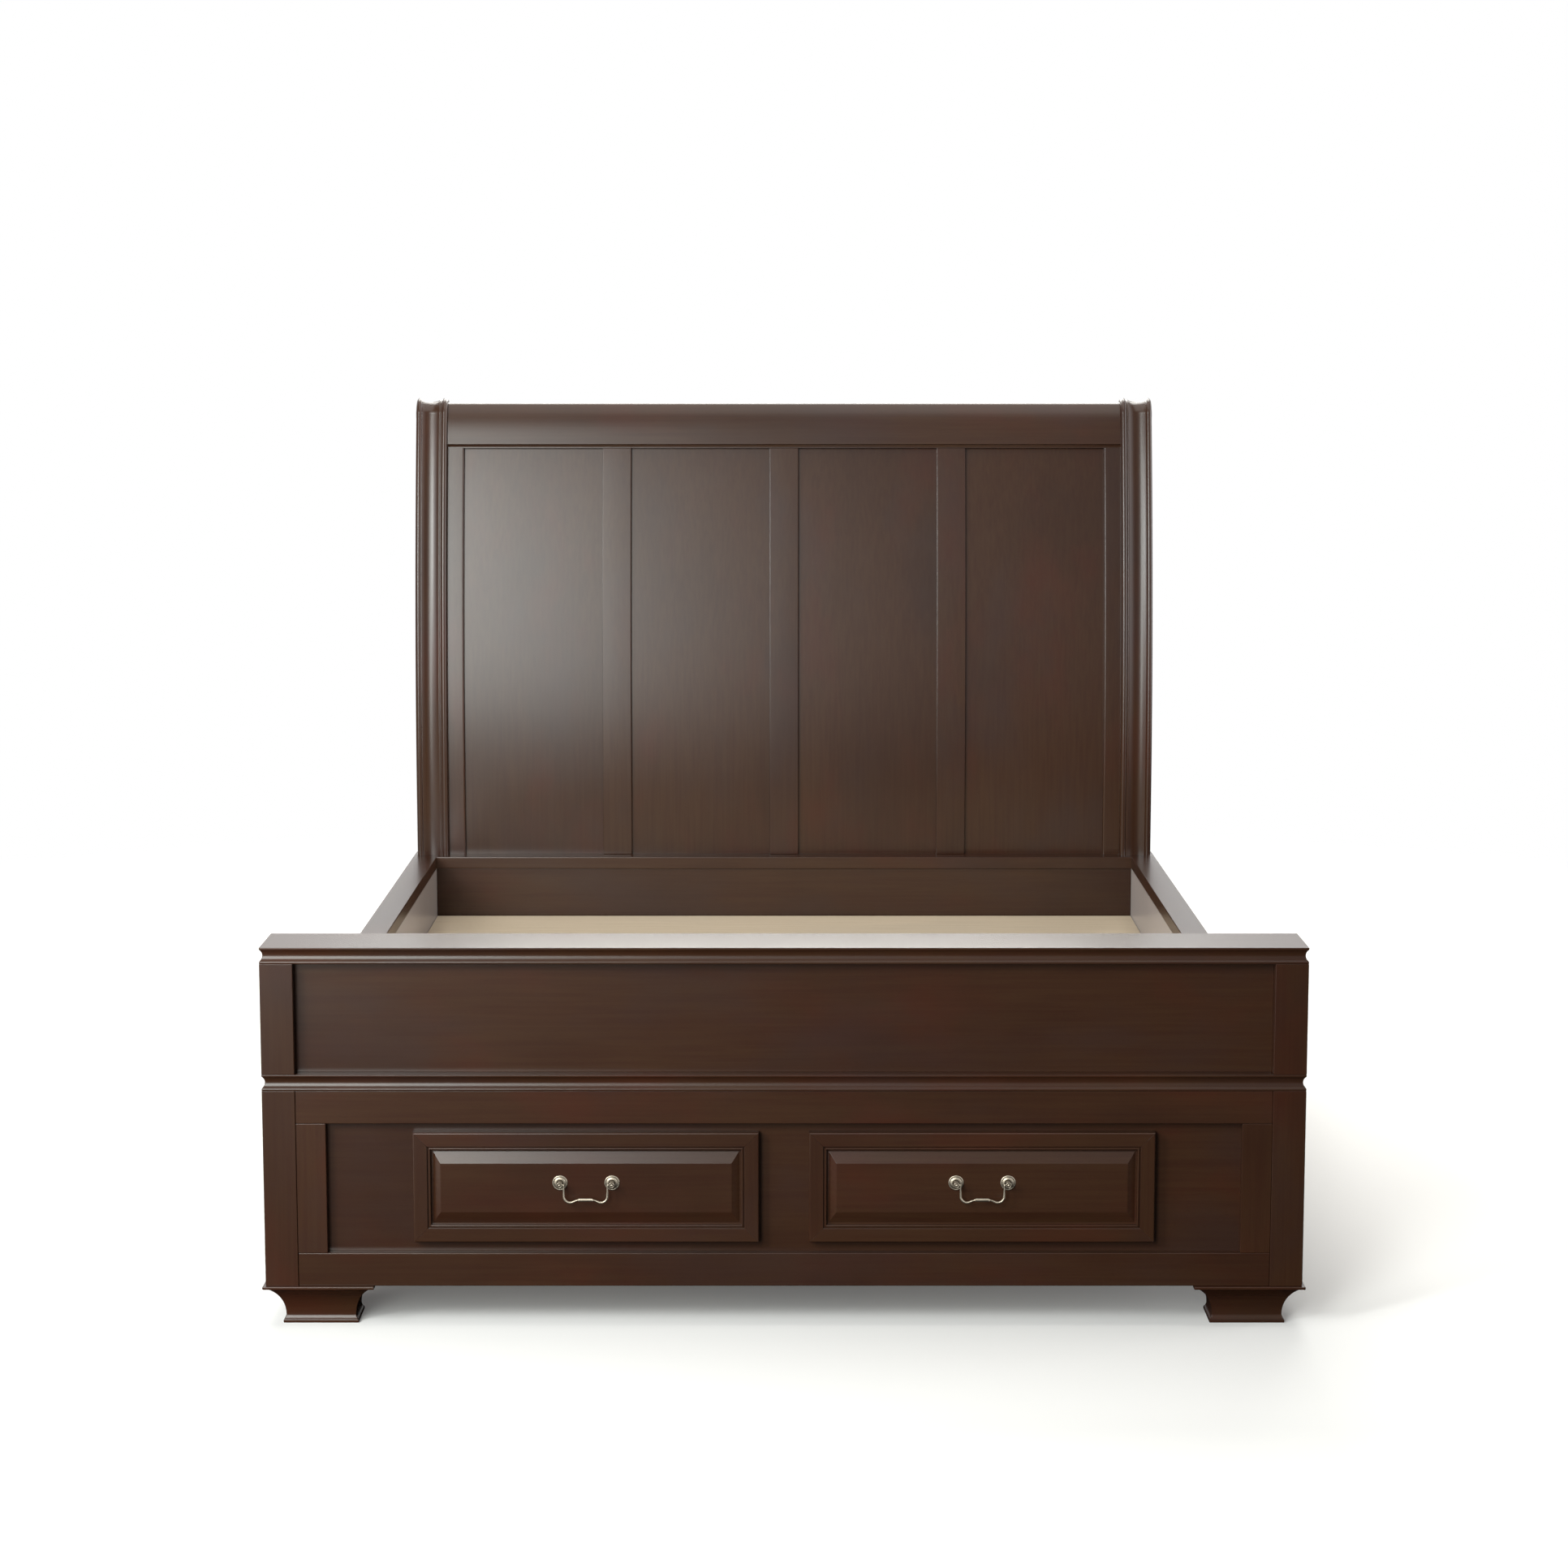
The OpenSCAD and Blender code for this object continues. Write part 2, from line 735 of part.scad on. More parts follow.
module slide_outer_members() {
    color(zinc_steel) for (s = [-1, 1])
        translate([s * drawer_x, 0, 0]) at_slides()
            channel(0, slide_steel, 0, middle_to - slide_gap, slide_h, slide_steel);
}

module slide_middle() {
    color(zinc_steel) at_slides()
        channel(middle_from, middle_from + slide_steel, middle_from, middle_to, middle_h, ball_strip);
}

module slide_inner_members() {
    color(zinc_steel) at_slides()
        channel(slide_room - slide_steel, slide_room, middle_from + slide_steel + slide_gap * 2,
                slide_room, inner_h, slide_steel);
}

// Pulls
module rosette_shape() {
    r = rosette_d / 2;
    t = rosette_t;
    neck_r = knob_d * 0.36;
    polygon([[0, 0], [r, 0], [r, t * 0.25], [r * 0.9, t * 0.45], [r * 0.84, t * 0.35],
             [r * 0.72, t * 0.7], [r * 0.58, t * 0.6], [neck_r + 1, t], [neck_r, t + 1],
             [neck_r, pull_reach], [0, pull_reach]]);
}

module pull_post() {
    screw_r = 2;
    screw_len = (front_back_y - field_y) * 0.75;
    difference() {
        rotate([90, 0, 0]) {
            rotate_extrude($fn = round_fn) rosette_shape();
            translate([0, 0, pull_reach]) sphere(d = knob_d, $fn = round_fn);
        }
        translate([-knob_d, -pull_reach, 0]) rotate([0, 90, 0])
            cylinder(r = pin_d / 2 + pin_clear, h = 2 * knob_d, $fn = round_fn);
    }
    translate([0, -past, 0]) rotate([-90, 0, 0])
        cylinder(r = screw_r, h = screw_len + past, $fn = round_fn);
}

module pull_rosettes() {
    color(old_nickel) for (s = [-1, 1])
        translate([s * pull_cc / 2, field_y, pull_height]) pull_post();
}

// A straight length of wire with round ends between two points in the plane of the bail
module wire(a, b, d) {
    run = b - a;
    translate([a[0], 0, a[1]]) {
        sphere(d = d, $fn = round_fn);
        rotate([0, atan2(run[0], run[1]), 0]) cylinder(d = d, h = norm(run), $fn = round_fn);
    }
    translate([b[0], 0, b[1]]) sphere(d = d, $fn = round_fn);
}

module bail() {
    color(old_nickel) translate([0, pivot_y, pull_height]) {
        for (s = [-1, 1]) side(s) {
            translate([arm_x, 0, 0]) rotate([0, 90, 0])
                cylinder(d = pin_d, h = pin_len + knob_d / 2, $fn = round_fn);
            wire([arm_x, 0], [arm_x, low_z + bail_bend], wire_d);
            translate([bend_x, 0, low_z + bail_bend]) rotate([90, 0, 0]) rotate([0, 0, -90])
                rotate_extrude(angle = 90, $fn = round_fn) translate([bail_bend, 0]) circle(d = wire_d);
            wire([bend_x, low_z], [grip_len / 2, low_z + grip_rise], wire_d);
        }
        wire([-grip_len / 2, low_z + grip_rise], [grip_len / 2, low_z + grip_rise], grip_d);
    }
}

// Headboard below the ledge
module headboard_leg() {
    color(dark_cherry) difference() {
        block([well_x, lower_board_y, 0], [post_x, head_back, moulding_z]);
        tenon(groove_play);
        translate([0, lower_board_y, 0]) mirror([0, 1, 0]) hook_pocket();
    }
}

module headboard_lower_board() {
    color(dark_cherry)
        block([-well_x, lower_board_y, rail_z], [well_x, lower_board_y + lower_board_t, moulding_z]);
}

module headboard_ledge() {
    color(dark_cherry) difference() {
        block([-post_x, ledge_y, moulding_z], [post_x, head_back, rail_top]);
        edge_hollow(post_x, 0, moulding_z, front = false);
        for (s = [-1, 1])
            side(s) tenon(groove_play);
    }
}

module tenon(play) {
    right = post_x - curve_post_in - tenon_in;
    from = head_y + tenon_back;
    block([right - tenon_w - play, from - play, rail_top - tenon_h - play],
          [right + play, from + tenon_t + play, rail_top + play]);
}

// Carries a section up the curve. A section is drawn with x across the bed and y back
// from the front of the curved posts
module straight_part() {
    translate([0, head_y, rail_top]) linear_extrude(lean_z - rail_top) children();
}

module lean_part(from, to) {
    translate([0, head_y + lean_r, lean_z]) mirror([0, 1, 0]) rotate([90, 0, 90]) rotate([0, 0, from])
        rotate_extrude(angle = to - from, $fn = lean_fn) translate([lean_r, 0]) rotate(90) children();
}

// A full turn of a section round the axis of the scroll, with a plain core between two places along it
module scroll_part(from, to) {
    translate([0, scroll_y, scroll_z]) rotate([90, 0, 90]) {
        rotate_extrude($fn = scroll_fn) translate([scroll_r + hair, 0]) rotate(90) children();
        translate([0, 0, from + hair])
            cylinder(r = 2 * scroll_core_r, h = to - from - 2 * hair, $fn = scroll_fn);
    }
}

// Section of a curved post: a bead along each edge, a small bead and a hollow between
module post_section(w, back) {
    small_r = small_bead_w / 2;
    small_y = post_hollow_edge + small_r - small_bead_out;
    from = 2 * bead_r + small_bead_w + small_bead_gap;
    to = w - 2 * bead_r;
    r = (pow((to - from) / 2, 2) + pow(post_hollow_d, 2)) / (2 * post_hollow_d);
    for (x = [bead_r, w - bead_r]) {
        translate([x, bead_r]) circle(r = bead_r, $fn = round_fn);
        rectangle([x - bead_r, bead_r], [x + bead_r, back]);
    }
    translate([2 * bead_r + small_r, small_y]) circle(r = small_r, $fn = round_fn);
    difference() {
        rectangle([bead_r, post_hollow_edge], [w - bead_r, back]);
        translate([(from + to) / 2, post_hollow_edge + post_hollow_d - r]) circle(r = r, $fn = 2 * scroll_fn);
    }
}

module curved_post() {
    color(dark_cherry) {
        translate([curve_post_x, 0, 0]) {
            straight_part() post_section(curve_post_w, curve_post_t);
            lean_part(0, scroll_angle) post_section(curve_post_w, curve_post_t);
            translate([-hair, 0, 0]) scroll_part(0, curve_post_w + 2 * hair)
                post_section(curve_post_w + 2 * hair, scroll_r - scroll_core_r);
        }
        tenon(0);
    }
}

module scroll_buttons() {
    r = button_d / 2;
    t = button_t;
    color(dark_cherry) for (s = [-1, 1])
        side(s) translate([post_x - curve_post_in + hair, scroll_y, scroll_z]) rotate([0, 90, 0])
            rotate_extrude($fn = scroll_fn)
                polygon([[0, 0], [r, 0], [r, t * 0.3], [r * 0.93, t * 0.55], [r * 0.8, t * 0.65],
                         [r * 0.74, t * 0.35], [r * 0.66, t * 0.4], [r * 0.5, t * 0.8],
                         [r * 0.3, t * 0.9], [r * 0.2, t], [0, t]]);
}

module headboard_top_rail() {
    edge_r = lean_r - top_rail_set;
    color(dark_cherry) difference() {
        union() {
            lean_part(rail_edge_angle, scroll_angle) rail_section(top_rail_x - hair, muntin_back);
            scroll_part(-top_rail_x, top_rail_x) rail_section(top_rail_x, scroll_r - scroll_core_r);
        }
        lean_part(rail_edge_angle - groove_angle, rail_edge_angle + groove_angle)
            translate([-curve_post_x, panel_front]) square([2 * curve_post_x, head_panel_t]);
        translate([-curve_post_x, head_y + lean_r - edge_r * cos(rail_edge_angle),
                   lean_z + edge_r * sin(rail_edge_angle)])
            rotate([0, 90, 0])
                cylinder(r = top_rail_hollow, h = 2 * curve_post_x, $fn = round_fn);
    }
}

module rail_section(half, back) {
    rectangle([-half, top_rail_set], [half, back]);
}

// Section of a stile or muntin of a given width, with a groove in one or both edges
module muntin_section(w, left, right) {
    difference() {
        translate([-w / 2, muntin_set]) square([w, muntin_t]);
        if (left)
            translate([-w / 2 - past, panel_front]) square([groove_d + past, head_panel_t]);
        if (right)
            translate([w / 2 - groove_d, panel_front]) square([groove_d + past, head_panel_t]);
    }
}

module headboard_stile() {
    color(dark_cherry) translate([stile_x + stile_w / 2, 0, 0]) {
        straight_part() muntin_section(stile_w, true, false);
        lean_part(0, rail_edge_angle) muntin_section(stile_w, true, false);
    }
}

module muntin(x) {
    color(dark_cherry) translate([x, 0, 0]) {
        straight_part() muntin_section(muntin_w, true, true);
        lean_part(0, rail_edge_angle) muntin_section(muntin_w, true, true);
    }
}

module headboard_panel(i) {
    w = panel_open + 2 * (groove_d - groove_play);
    t = head_panel_t - 2 * groove_play;
    color(dark_cherry) translate([(i - 2.5) * panel_pitch, 0, 0]) {
        straight_part() translate([-w / 2, panel_front + groove_play]) square([w, t]);
        lean_part(0, rail_edge_angle + tongue_angle)
            translate([-w / 2, panel_front + groove_play]) square([w, t]);
    }
}

module drawer_at(s) {
    translate([s * drawer_x, 0, 0]) children();
}

placed() side(-1) headboard_leg();  // headboard_leg_left
placed() headboard_leg();  // headboard_leg_right
placed() headboard_lower_board();
placed() headboard_ledge();
placed() side(-1) curved_post();  // curved_post_left
placed() curved_post();  // curved_post_right
placed() scroll_buttons();
placed() headboard_top_rail();
placed() side(-1) headboard_stile();  // headboard_stile_left
placed() headboard_stile();  // headboard_stile_right
placed() muntin(-panel_pitch);  // muntin_left
placed() muntin(0);  // muntin_middle
placed() muntin(panel_pitch);  // muntin_right
placed() headboard_panel(1);  // headboard_panel_1
placed() headboard_panel(2);  // headboard_panel_2
placed() headboard_panel(3);  // headboard_panel_3
placed() headboard_panel(4);  // headboard_panel_4
placed() side(-1) footboard_post();  // footboard_post_left
placed() footboard_post();  // footboard_post_right
placed() footboard_cap();
placed() middle_moulding();
placed() footboard_upper_panel();
placed() footboard_back_panel();
placed() drawer_surround_panel();
placed() frame_head();
placed() frame_sill();
placed() side(-1) frame_stile();  // frame_stile_left
placed() frame_stile();  // frame_stile_right
placed() side(-1) front_foot();  // front_foot_left
placed() front_foot();  // front_foot_right
placed() side(-1) side_rail();  // side_rail_left
placed() side_rail();  // side_rail_right
placed() rail_caps();
placed() rail_cleats();
placed() cleat_screws();
placed() rail_hook_plates();
placed() post_slot_plates();
placed() deck_boards();
placed() cross_slats();
placed() middle_beam();
placed() beam_legs();
placed() drawer_bay_panels();
placed() bay_rear_rail();
placed() drawer_at(-1) drawer_frame();  // drawer_frame_left
placed() drawer_at(1) drawer_frame();  // drawer_frame_right
placed() drawer_at(-1) drawer_field();  // drawer_field_left
placed() drawer_at(1) drawer_field();  // drawer_field_right
placed() drawer_at(-1) drawer_box();  // drawer_box_left
placed() drawer_at(1) drawer_box();  // drawer_box_right
placed() drawer_at(-1) drawer_bottom();  // drawer_bottom_left
placed() drawer_at(1) drawer_bottom();  // drawer_bottom_right
placed() slide_outer_members();
placed() drawer_at(-1) slide_middle();  // slide_middle_left
placed() drawer_at(1) slide_middle();  // slide_middle_right
placed() drawer_at(-1) slide_inner_members();  // slide_inner_members_left
placed() drawer_at(1) slide_inner_members();  // slide_inner_members_right
placed() drawer_at(-1) pull_rosettes();  // pull_rosettes_left
placed() drawer_at(1) pull_rosettes();  // pull_rosettes_right
placed() drawer_at(-1) bail();  // bail_left
placed() drawer_at(1) bail();  // bail_right
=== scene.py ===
"""Dresses a sleigh bed whose footboard holds two drawers.

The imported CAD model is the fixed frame. Boards get eased edges, mouldings get their fine curves,
and every surface gets its finish. Sizes in the classes are millimetres on the bed: X runs across
it, Y runs back from the front of the footboard posts, and Z runs up from the floor.
"""

import logging
import math
from collections.abc import Callable, Sequence
from dataclasses import dataclass, replace
from enum import Enum

import bmesh
import bpy
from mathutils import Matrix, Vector


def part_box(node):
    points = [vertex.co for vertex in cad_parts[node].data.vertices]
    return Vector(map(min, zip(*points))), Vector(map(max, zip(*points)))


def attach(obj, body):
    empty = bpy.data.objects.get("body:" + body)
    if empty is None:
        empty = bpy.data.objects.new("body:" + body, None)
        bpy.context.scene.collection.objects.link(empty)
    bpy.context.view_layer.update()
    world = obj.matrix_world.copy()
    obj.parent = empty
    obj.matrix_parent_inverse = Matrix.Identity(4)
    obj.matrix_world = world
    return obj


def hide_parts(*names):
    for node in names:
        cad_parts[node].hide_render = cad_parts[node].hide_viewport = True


log = logging.getLogger("bed")
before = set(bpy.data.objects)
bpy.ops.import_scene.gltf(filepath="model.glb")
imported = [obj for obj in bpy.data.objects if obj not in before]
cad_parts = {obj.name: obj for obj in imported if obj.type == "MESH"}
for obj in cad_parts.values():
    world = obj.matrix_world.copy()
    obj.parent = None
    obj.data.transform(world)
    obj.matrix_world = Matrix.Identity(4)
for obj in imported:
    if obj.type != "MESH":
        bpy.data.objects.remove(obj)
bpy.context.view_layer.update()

MM = 0.001
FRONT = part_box("footboard_post_left")[0].y
SAME = 0.01  # millimetres within which two places are the same
FACING = 0.9  # the least part of a normal along an axis that it faces
FLAT_TURN = 1.5  # degrees up to which faces of a CAD node are merged
ENDS = (-1, 1)  # towards the low and the high end of an axis

Point = tuple[float, float, float]
Flat = tuple[float, float]
Colour = tuple[float, float, float]
Test = Callable[[Vector, Vector], bool]
Socket = bpy.types.NodeSocket
Sockets = bpy.types.bpy_prop_collection


def on_bed(x: float, y: float, z: float) -> Vector:
    """Turns bed millimetres into a point of the frame, in metres."""
    return Vector((x * MM, y * MM + FRONT, z * MM))


def off_bed(place: Vector) -> Vector:
    """Turns a point of the frame into bed millimetres."""
    return Vector((place.x / MM, (place.y - FRONT) / MM, place.z / MM))


class Grain(Enum):
    """The wood's grain, as the order of a place's parts that puts the grain's axis first."""

    ACROSS = (0, 1, 2)
    BACK = (1, 2, 0)
    UPRIGHT = (2, 0, 1)


class Side(Enum):
    """The left or the right half of the bed, as seen from its foot."""

    LEFT = -1
    RIGHT = 1

    @property
    def word(self) -> str:
        """The word that ends the names of this side's nodes."""
        return self.name.lower()


# Modelling ---------------------------------------------------------------------------------------


def put_down() -> None:
    """Leaves edit mode and deselects everything."""
    active = bpy.context.view_layer.objects.active
    if active is not None and active.mode != "OBJECT":
        bpy.ops.object.mode_set(mode="OBJECT")
    bpy.ops.object.select_all(action="DESELECT")


def hold(obj: bpy.types.Object) -> None:
    """Selects one object alone and makes it the active one.

    Args:
        obj: The object.
    """
    put_down()
    obj.select_set(True)
    bpy.context.view_layer.objects.active = obj


class Piece:
    """A mesh piece that is shaped with the usual edit tools."""

    def __init__(self, obj: bpy.types.Object) -> None:
        """Wraps a mesh object whose place is in its mesh."""
        self.obj = obj

    def called(self, name: str) -> "Piece":
        """Names the object and its mesh, and gives the piece."""
        self.obj.name = self.obj.data.name = name
        return self

    @classmethod
    def added(cls, name: str) -> "Piece":
        """Names the primitive that was just added and puts its place in its mesh."""
        bpy.ops.object.transform_apply(location=True, rotation=True, scale=True)
        return cls(bpy.context.object).called(name)

    @classmethod
    def block(cls, name: str, low: Point, high: Point) -> "Piece":
        """Adds a box between two corners.

        Args:
            name: The piece's name.
            low: The lowest corner in bed millimetres.
            high: The highest corner.

        Returns:
            The box.
        """
        put_down()
        a, b = on_bed(*low), on_bed(*high)
        bpy.ops.mesh.primitive_cube_add(size=1, location=(a + b) / 2, scale=b - a)
        return cls.added(name)

    @classmethod
    def outline(cls, name: str, points: Sequence[Point], closed: bool = True) -> "Piece":
        """Draws a chain of edges by extruding one vertex from point to point.

        Args:
            name: The piece's name.
            points: The corners in order, in bed millimetres.
            closed: Whether the last corner joins the first.

        Returns:
            The chain, all of it selected in edit mode.
        """
        put_down()
        places = [on_bed(*p) for p in points]
        bpy.ops.mesh.primitive_plane_add(size=MM, location=places[0])
        piece = cls.added(name)
        piece.edit()
        bpy.context.tool_settings.mesh_select_mode = Pick.VERTS.modes
        bpy.ops.mesh.select_all(action="SELECT")
        bpy.ops.mesh.merge(type="CENTER")
        for here, there in zip(places, places[1:]):
            bpy.ops.mesh.extrude_region_move(TRANSFORM_OT_translate={"value": there - here})
        if closed:
            ends = (places[0], places[-1])
            reach = 2 * SAME * MM
            near = lambda at, _: any((on_bed(*at) - end).length < reach for end in ends)
            piece.pick(Pick.VERTS, near)
            bpy.ops.mesh.edge_face_add()
        piece.all()
        return piece

    @classmethod
    def copied(cls, node: str, name: str) -> "Piece":
        """Copies a CAD node and merges its loose triangles into clean faces.

        Args:
            node: The node to copy.
            name: The piece's name.

        Returns:
            The copy, in object mode.
        """
        put_down()
        piece = cls(bpy.data.objects.new(name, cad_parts[node].data.copy())).called(name)
        piece.obj.data.materials.clear()
        bpy.context.scene.collection.objects.link(piece.obj)
        piece.all()
        bpy.ops.mesh.remove_doubles(threshold=2 * SAME * MM)
        bpy.ops.mesh.dissolve_limited(angle_limit=math.radians(FLAT_TURN))
        put_down()
        return piece

    def twin(self) -> "Piece":
        """Copies the piece with a mesh of its own.

        Returns:
            The copy, which is selected and active.
        """
        put_down()
        obj = self.obj.copy()
        obj.data = self.obj.data.copy()
        bpy.context.scene.collection.objects.link(obj)
        hold(obj)
        return Piece(obj)

    def mirrored(self, name: str) -> "Piece":
        """Makes the same piece for the other half of the bed.

        Args:
            name: The copy's name.

        Returns:
            The copy, with its own mesh.
        """
        copy = self.twin().called(name)
        copy.obj.scale.x = -1
        bpy.ops.object.transform_apply(location=False, rotation=False, scale=True)
        copy.turn_out()
        return copy

    def edit(self) -> bmesh.types.BMesh:
        """Goes into edit mode.

        Returns:
            The mesh as it stands in edit mode.
        """
        if self.obj.mode != "EDIT":
            hold(self.obj)
            bpy.ops.object.mode_set(mode="EDIT")
        return bmesh.from_edit_mesh(self.obj.data)

    def all(self) -> None:
        """Selects the whole mesh in edit mode."""
        self.edit()
        bpy.ops.mesh.select_all(action="SELECT")

    def pick(self, what: "Pick", test: Test) -> None:
        """Selects the parts of the mesh that pass a test.

        Args:
            what: Vertices, edges or faces.
            test: Takes the middle of a part in bed millimetres, and the direction of an edge or
                the normal of a vertex or face.
        """
        mesh = self.edit()
        bpy.context.tool_settings.mesh_select_mode = what.modes
        bpy.ops.mesh.select_all(action="DESELECT")
        for part in [part for part in what.parts(mesh) if test(*what.facts(part))]:
            part.select_set(True)
        mesh.select_flush_mode()
        bmesh.update_edit_mesh(self.obj.data)

    def cut(self, point: Point, normal: Point, saw: bool = False) -> "Piece":
        """Cuts new edges where a plane crosses the mesh.

        Args:
            point: A point of the plane in bed millimetres.
            normal: The plane's normal.
            saw: Whether all beyond the plane, where its normal points, comes off.

        Returns:
            The piece itself.
        """
        self.all()
        bpy.ops.mesh.bisect(plane_co=on_bed(*point), plane_no=normal, clear_outer=saw, use_fill=saw)
        return self

    def keep(self, test: Test) -> None:
        """Deletes the vertices that fail a test."""
        self.pick(Pick.VERTS, lambda at, way: not test(at, way))
        bpy.ops.mesh.delete(type="VERT")

    def move(self, x: float = 0, y: float = 0, z: float = 0) -> None:
        """Moves the selection by some millimetres."""
        bpy.ops.transform.translate(value=Vector((x, y, z)) * MM)

    def extrude(self, x: float = 0, y: float = 0, z: float = 0) -> "Piece":
        """Extrudes the selection by some millimetres, and gives the piece."""
        bpy.ops.mesh.extrude_region_move(TRANSFORM_OT_translate={"value": Vector((x, y, z)) * MM})
        return self

    def spin(self, centre: Point, axis: Point, steps: int, degrees: float = 360) -> "Piece":
        """Spins the selection round an axis.

        Args:
            centre: A point of the axis in bed millimetres.
            axis: The axis's direction.
            steps: The number of steps.
            degrees: The angle to turn through.

        Returns:
            The piece itself, closed.
        """
        angle = math.radians(degrees)
        bpy.ops.mesh.spin(steps=steps, angle=angle, center=on_bed(*centre), axis=axis)
        return self.seal()

    def flip(self, centre: Vector) -> None:
        """Mirrors the selection left to right, with its faces outwards."""
        bpy.ops.transform.resize(value=(-1, 1, 1), center_override=centre)
        bpy.ops.mesh.normals_make_consistent(inside=False)

    def turn_out(self) -> None:
        """Turns all faces outwards and leaves edit mode."""
        self.all()
        bpy.ops.mesh.normals_make_consistent(inside=False)
        put_down()

    def seal(self) -> "Piece":
        """Merges doubles, closes the open ends and turns the faces outwards.

        Returns:
            The piece itself.
        """
        self.all()
        bpy.ops.mesh.remove_doubles(threshold=SAME * MM)
        bpy.ops.mesh.fill_holes(sides=0)
        self.turn_out()
        return self

    def hollow(self, levels: Sequence[Flat], sides: Sequence[Point]) -> None:
        """Draws the sides of a slab in by a depth that changes with the height.

        Args:
            levels: Pairs of a height and the depth there, in millimetres.
            sides: For each side that is drawn in, its outward direction in X and Y, and the
                place of its face along that direction.
        """
        for height, _ in levels:
            self.cut((0, 0, height), (0, 0, 1))
        for height, depth in levels:
            for side in sides:
                self.pick(Pick.VERTS, lambda at, _: is_on(at, height, side))
                self.move(-side[0] * depth, -side[1] * depth)

    def change(self, name: str, kind: str, **settings: object) -> "Piece":
        """Adds a modifier and applies it.

        Args:
            name: The modifier's name.
            kind: Its type.
            settings: Its settings.

        Returns:
            The piece itself.
        """
        hold(self.obj)
        modifier = self.obj.modifiers.new(name, kind)
        for key, value in settings.items():
            setattr(modifier, key, value)
        bpy.ops.object.modifier_apply(modifier=modifier.name)
        return self

    def carve(self, tool: "Piece") -> None:
        """Takes the shape of a tool piece out of this one, and the tool away."""
        self.change("bite", "BOOLEAN", object=tool.obj, operation="DIFFERENCE", solver="EXACT")
        bpy.data.objects.remove(tool.obj)

    def ease(self, width: float, segments: int = 2, angle: float = 30) -> "Piece":
        """Rounds the edges that are sharper than an angle, to a width in millimetres."""
        turn = {"limit_method": "ANGLE", "angle_limit": math.radians(angle)}
        return self.change("ease", "BEVEL", width=width * MM, segments=segments, **turn)

    def joined(self, *others: "Piece") -> "Piece":
        """Joins other pieces into this one.

        Args:
            others: The pieces, which become part of this one.

        Returns:
            The piece itself.
        """
        hold(self.obj)
        for piece in others:
            piece.obj.select_set(True)
        bpy.ops.object.join()
        return self

    def dress(self, finish: "Finish", *nodes: str, body: str = "frame", smooth: float = 35) -> None:
        """Shades the piece, gives it its finish and lets it ride on its body.

        Args:
            finish: The finish.
            nodes: The CAD nodes that the piece stands for.
            body: The CAD body that carries the piece.
            smooth: Edges flatter than this many degrees are shaded smooth.
        """
        hold(self.obj)
        bpy.ops.object.shade_smooth_by_angle(angle=math.radians(smooth))
        self.change("even", "WEIGHTED_NORMAL", keep_sharp=True, weight=100)
        self.obj.data.materials.clear()
        self.obj.data.materials.append(finish.material())
        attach(self.obj, body)
        if nodes:
            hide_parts(*nodes)
        log.info("%s: %d faces, %s", self.obj.name, len(self.obj.data.polygons), finish.name)

    def dress_pair(self, finish: "Finish", node: str, end: str, smooth: float = 35) -> None:
        """Dresses a right piece and its mirror image on the left.

        Args:
            finish: The finish of both.
            node: The start of both nodes' names.
            end: The last word of the left piece's name.
            smooth: Edges flatter than this many degrees are shaded smooth.
        """
        twin = self.mirrored(f"{node}_left_{end}")
        self.dress(finish, f"{node}_right", smooth=smooth)
        twin.dress(finish, f"{node}_left", smooth=smooth)


def is_on(at: Vector, height: float, side: Point) -> bool:
    """Tells whether a place lies at a height on the face of a slab's side.

    Args:
        at: The place in bed millimetres.
        height: The height.
        side: The side's outward direction in X and Y, and its place along that direction.

    Returns:
        Whether it does.
    """
    x, y, face = side
    return abs(at.z - height) < SAME and abs(at.x * x + at.y * y - face) < SAME


class Pick(Enum):
    """What a selection is made of."""

    VERTS = 0
    EDGES = 1
    FACES = 2

    @property
    def modes(self) -> tuple[bool, bool, bool]:
        """The select mode for this kind."""
        return tuple(i == self.value for i in range(3))

    def parts(self, mesh: bmesh.types.BMesh) -> Sequence:
        """The mesh's vertices, edges or faces."""
        return (mesh.verts, mesh.edges, mesh.faces)[self.value]

    def facts(self, part: object) -> tuple[Vector, Vector]:
        """The middle of a part, in bed millimetres, and its direction or normal.

        Args:
            part: A vertex, an edge or a face.

        Returns:
            The middle and the direction.
        """
        if self is Pick.EDGES:
            a, b = (off_bed(v.co) for v in part.verts)
            return (a + b) / 2, (b - a).normalized()
        middle = part.co if self is Pick.VERTS else part.calc_center_median()
        return off_bed(middle), part.normal


# Finishes ----------------------------------------------------------------------------------------


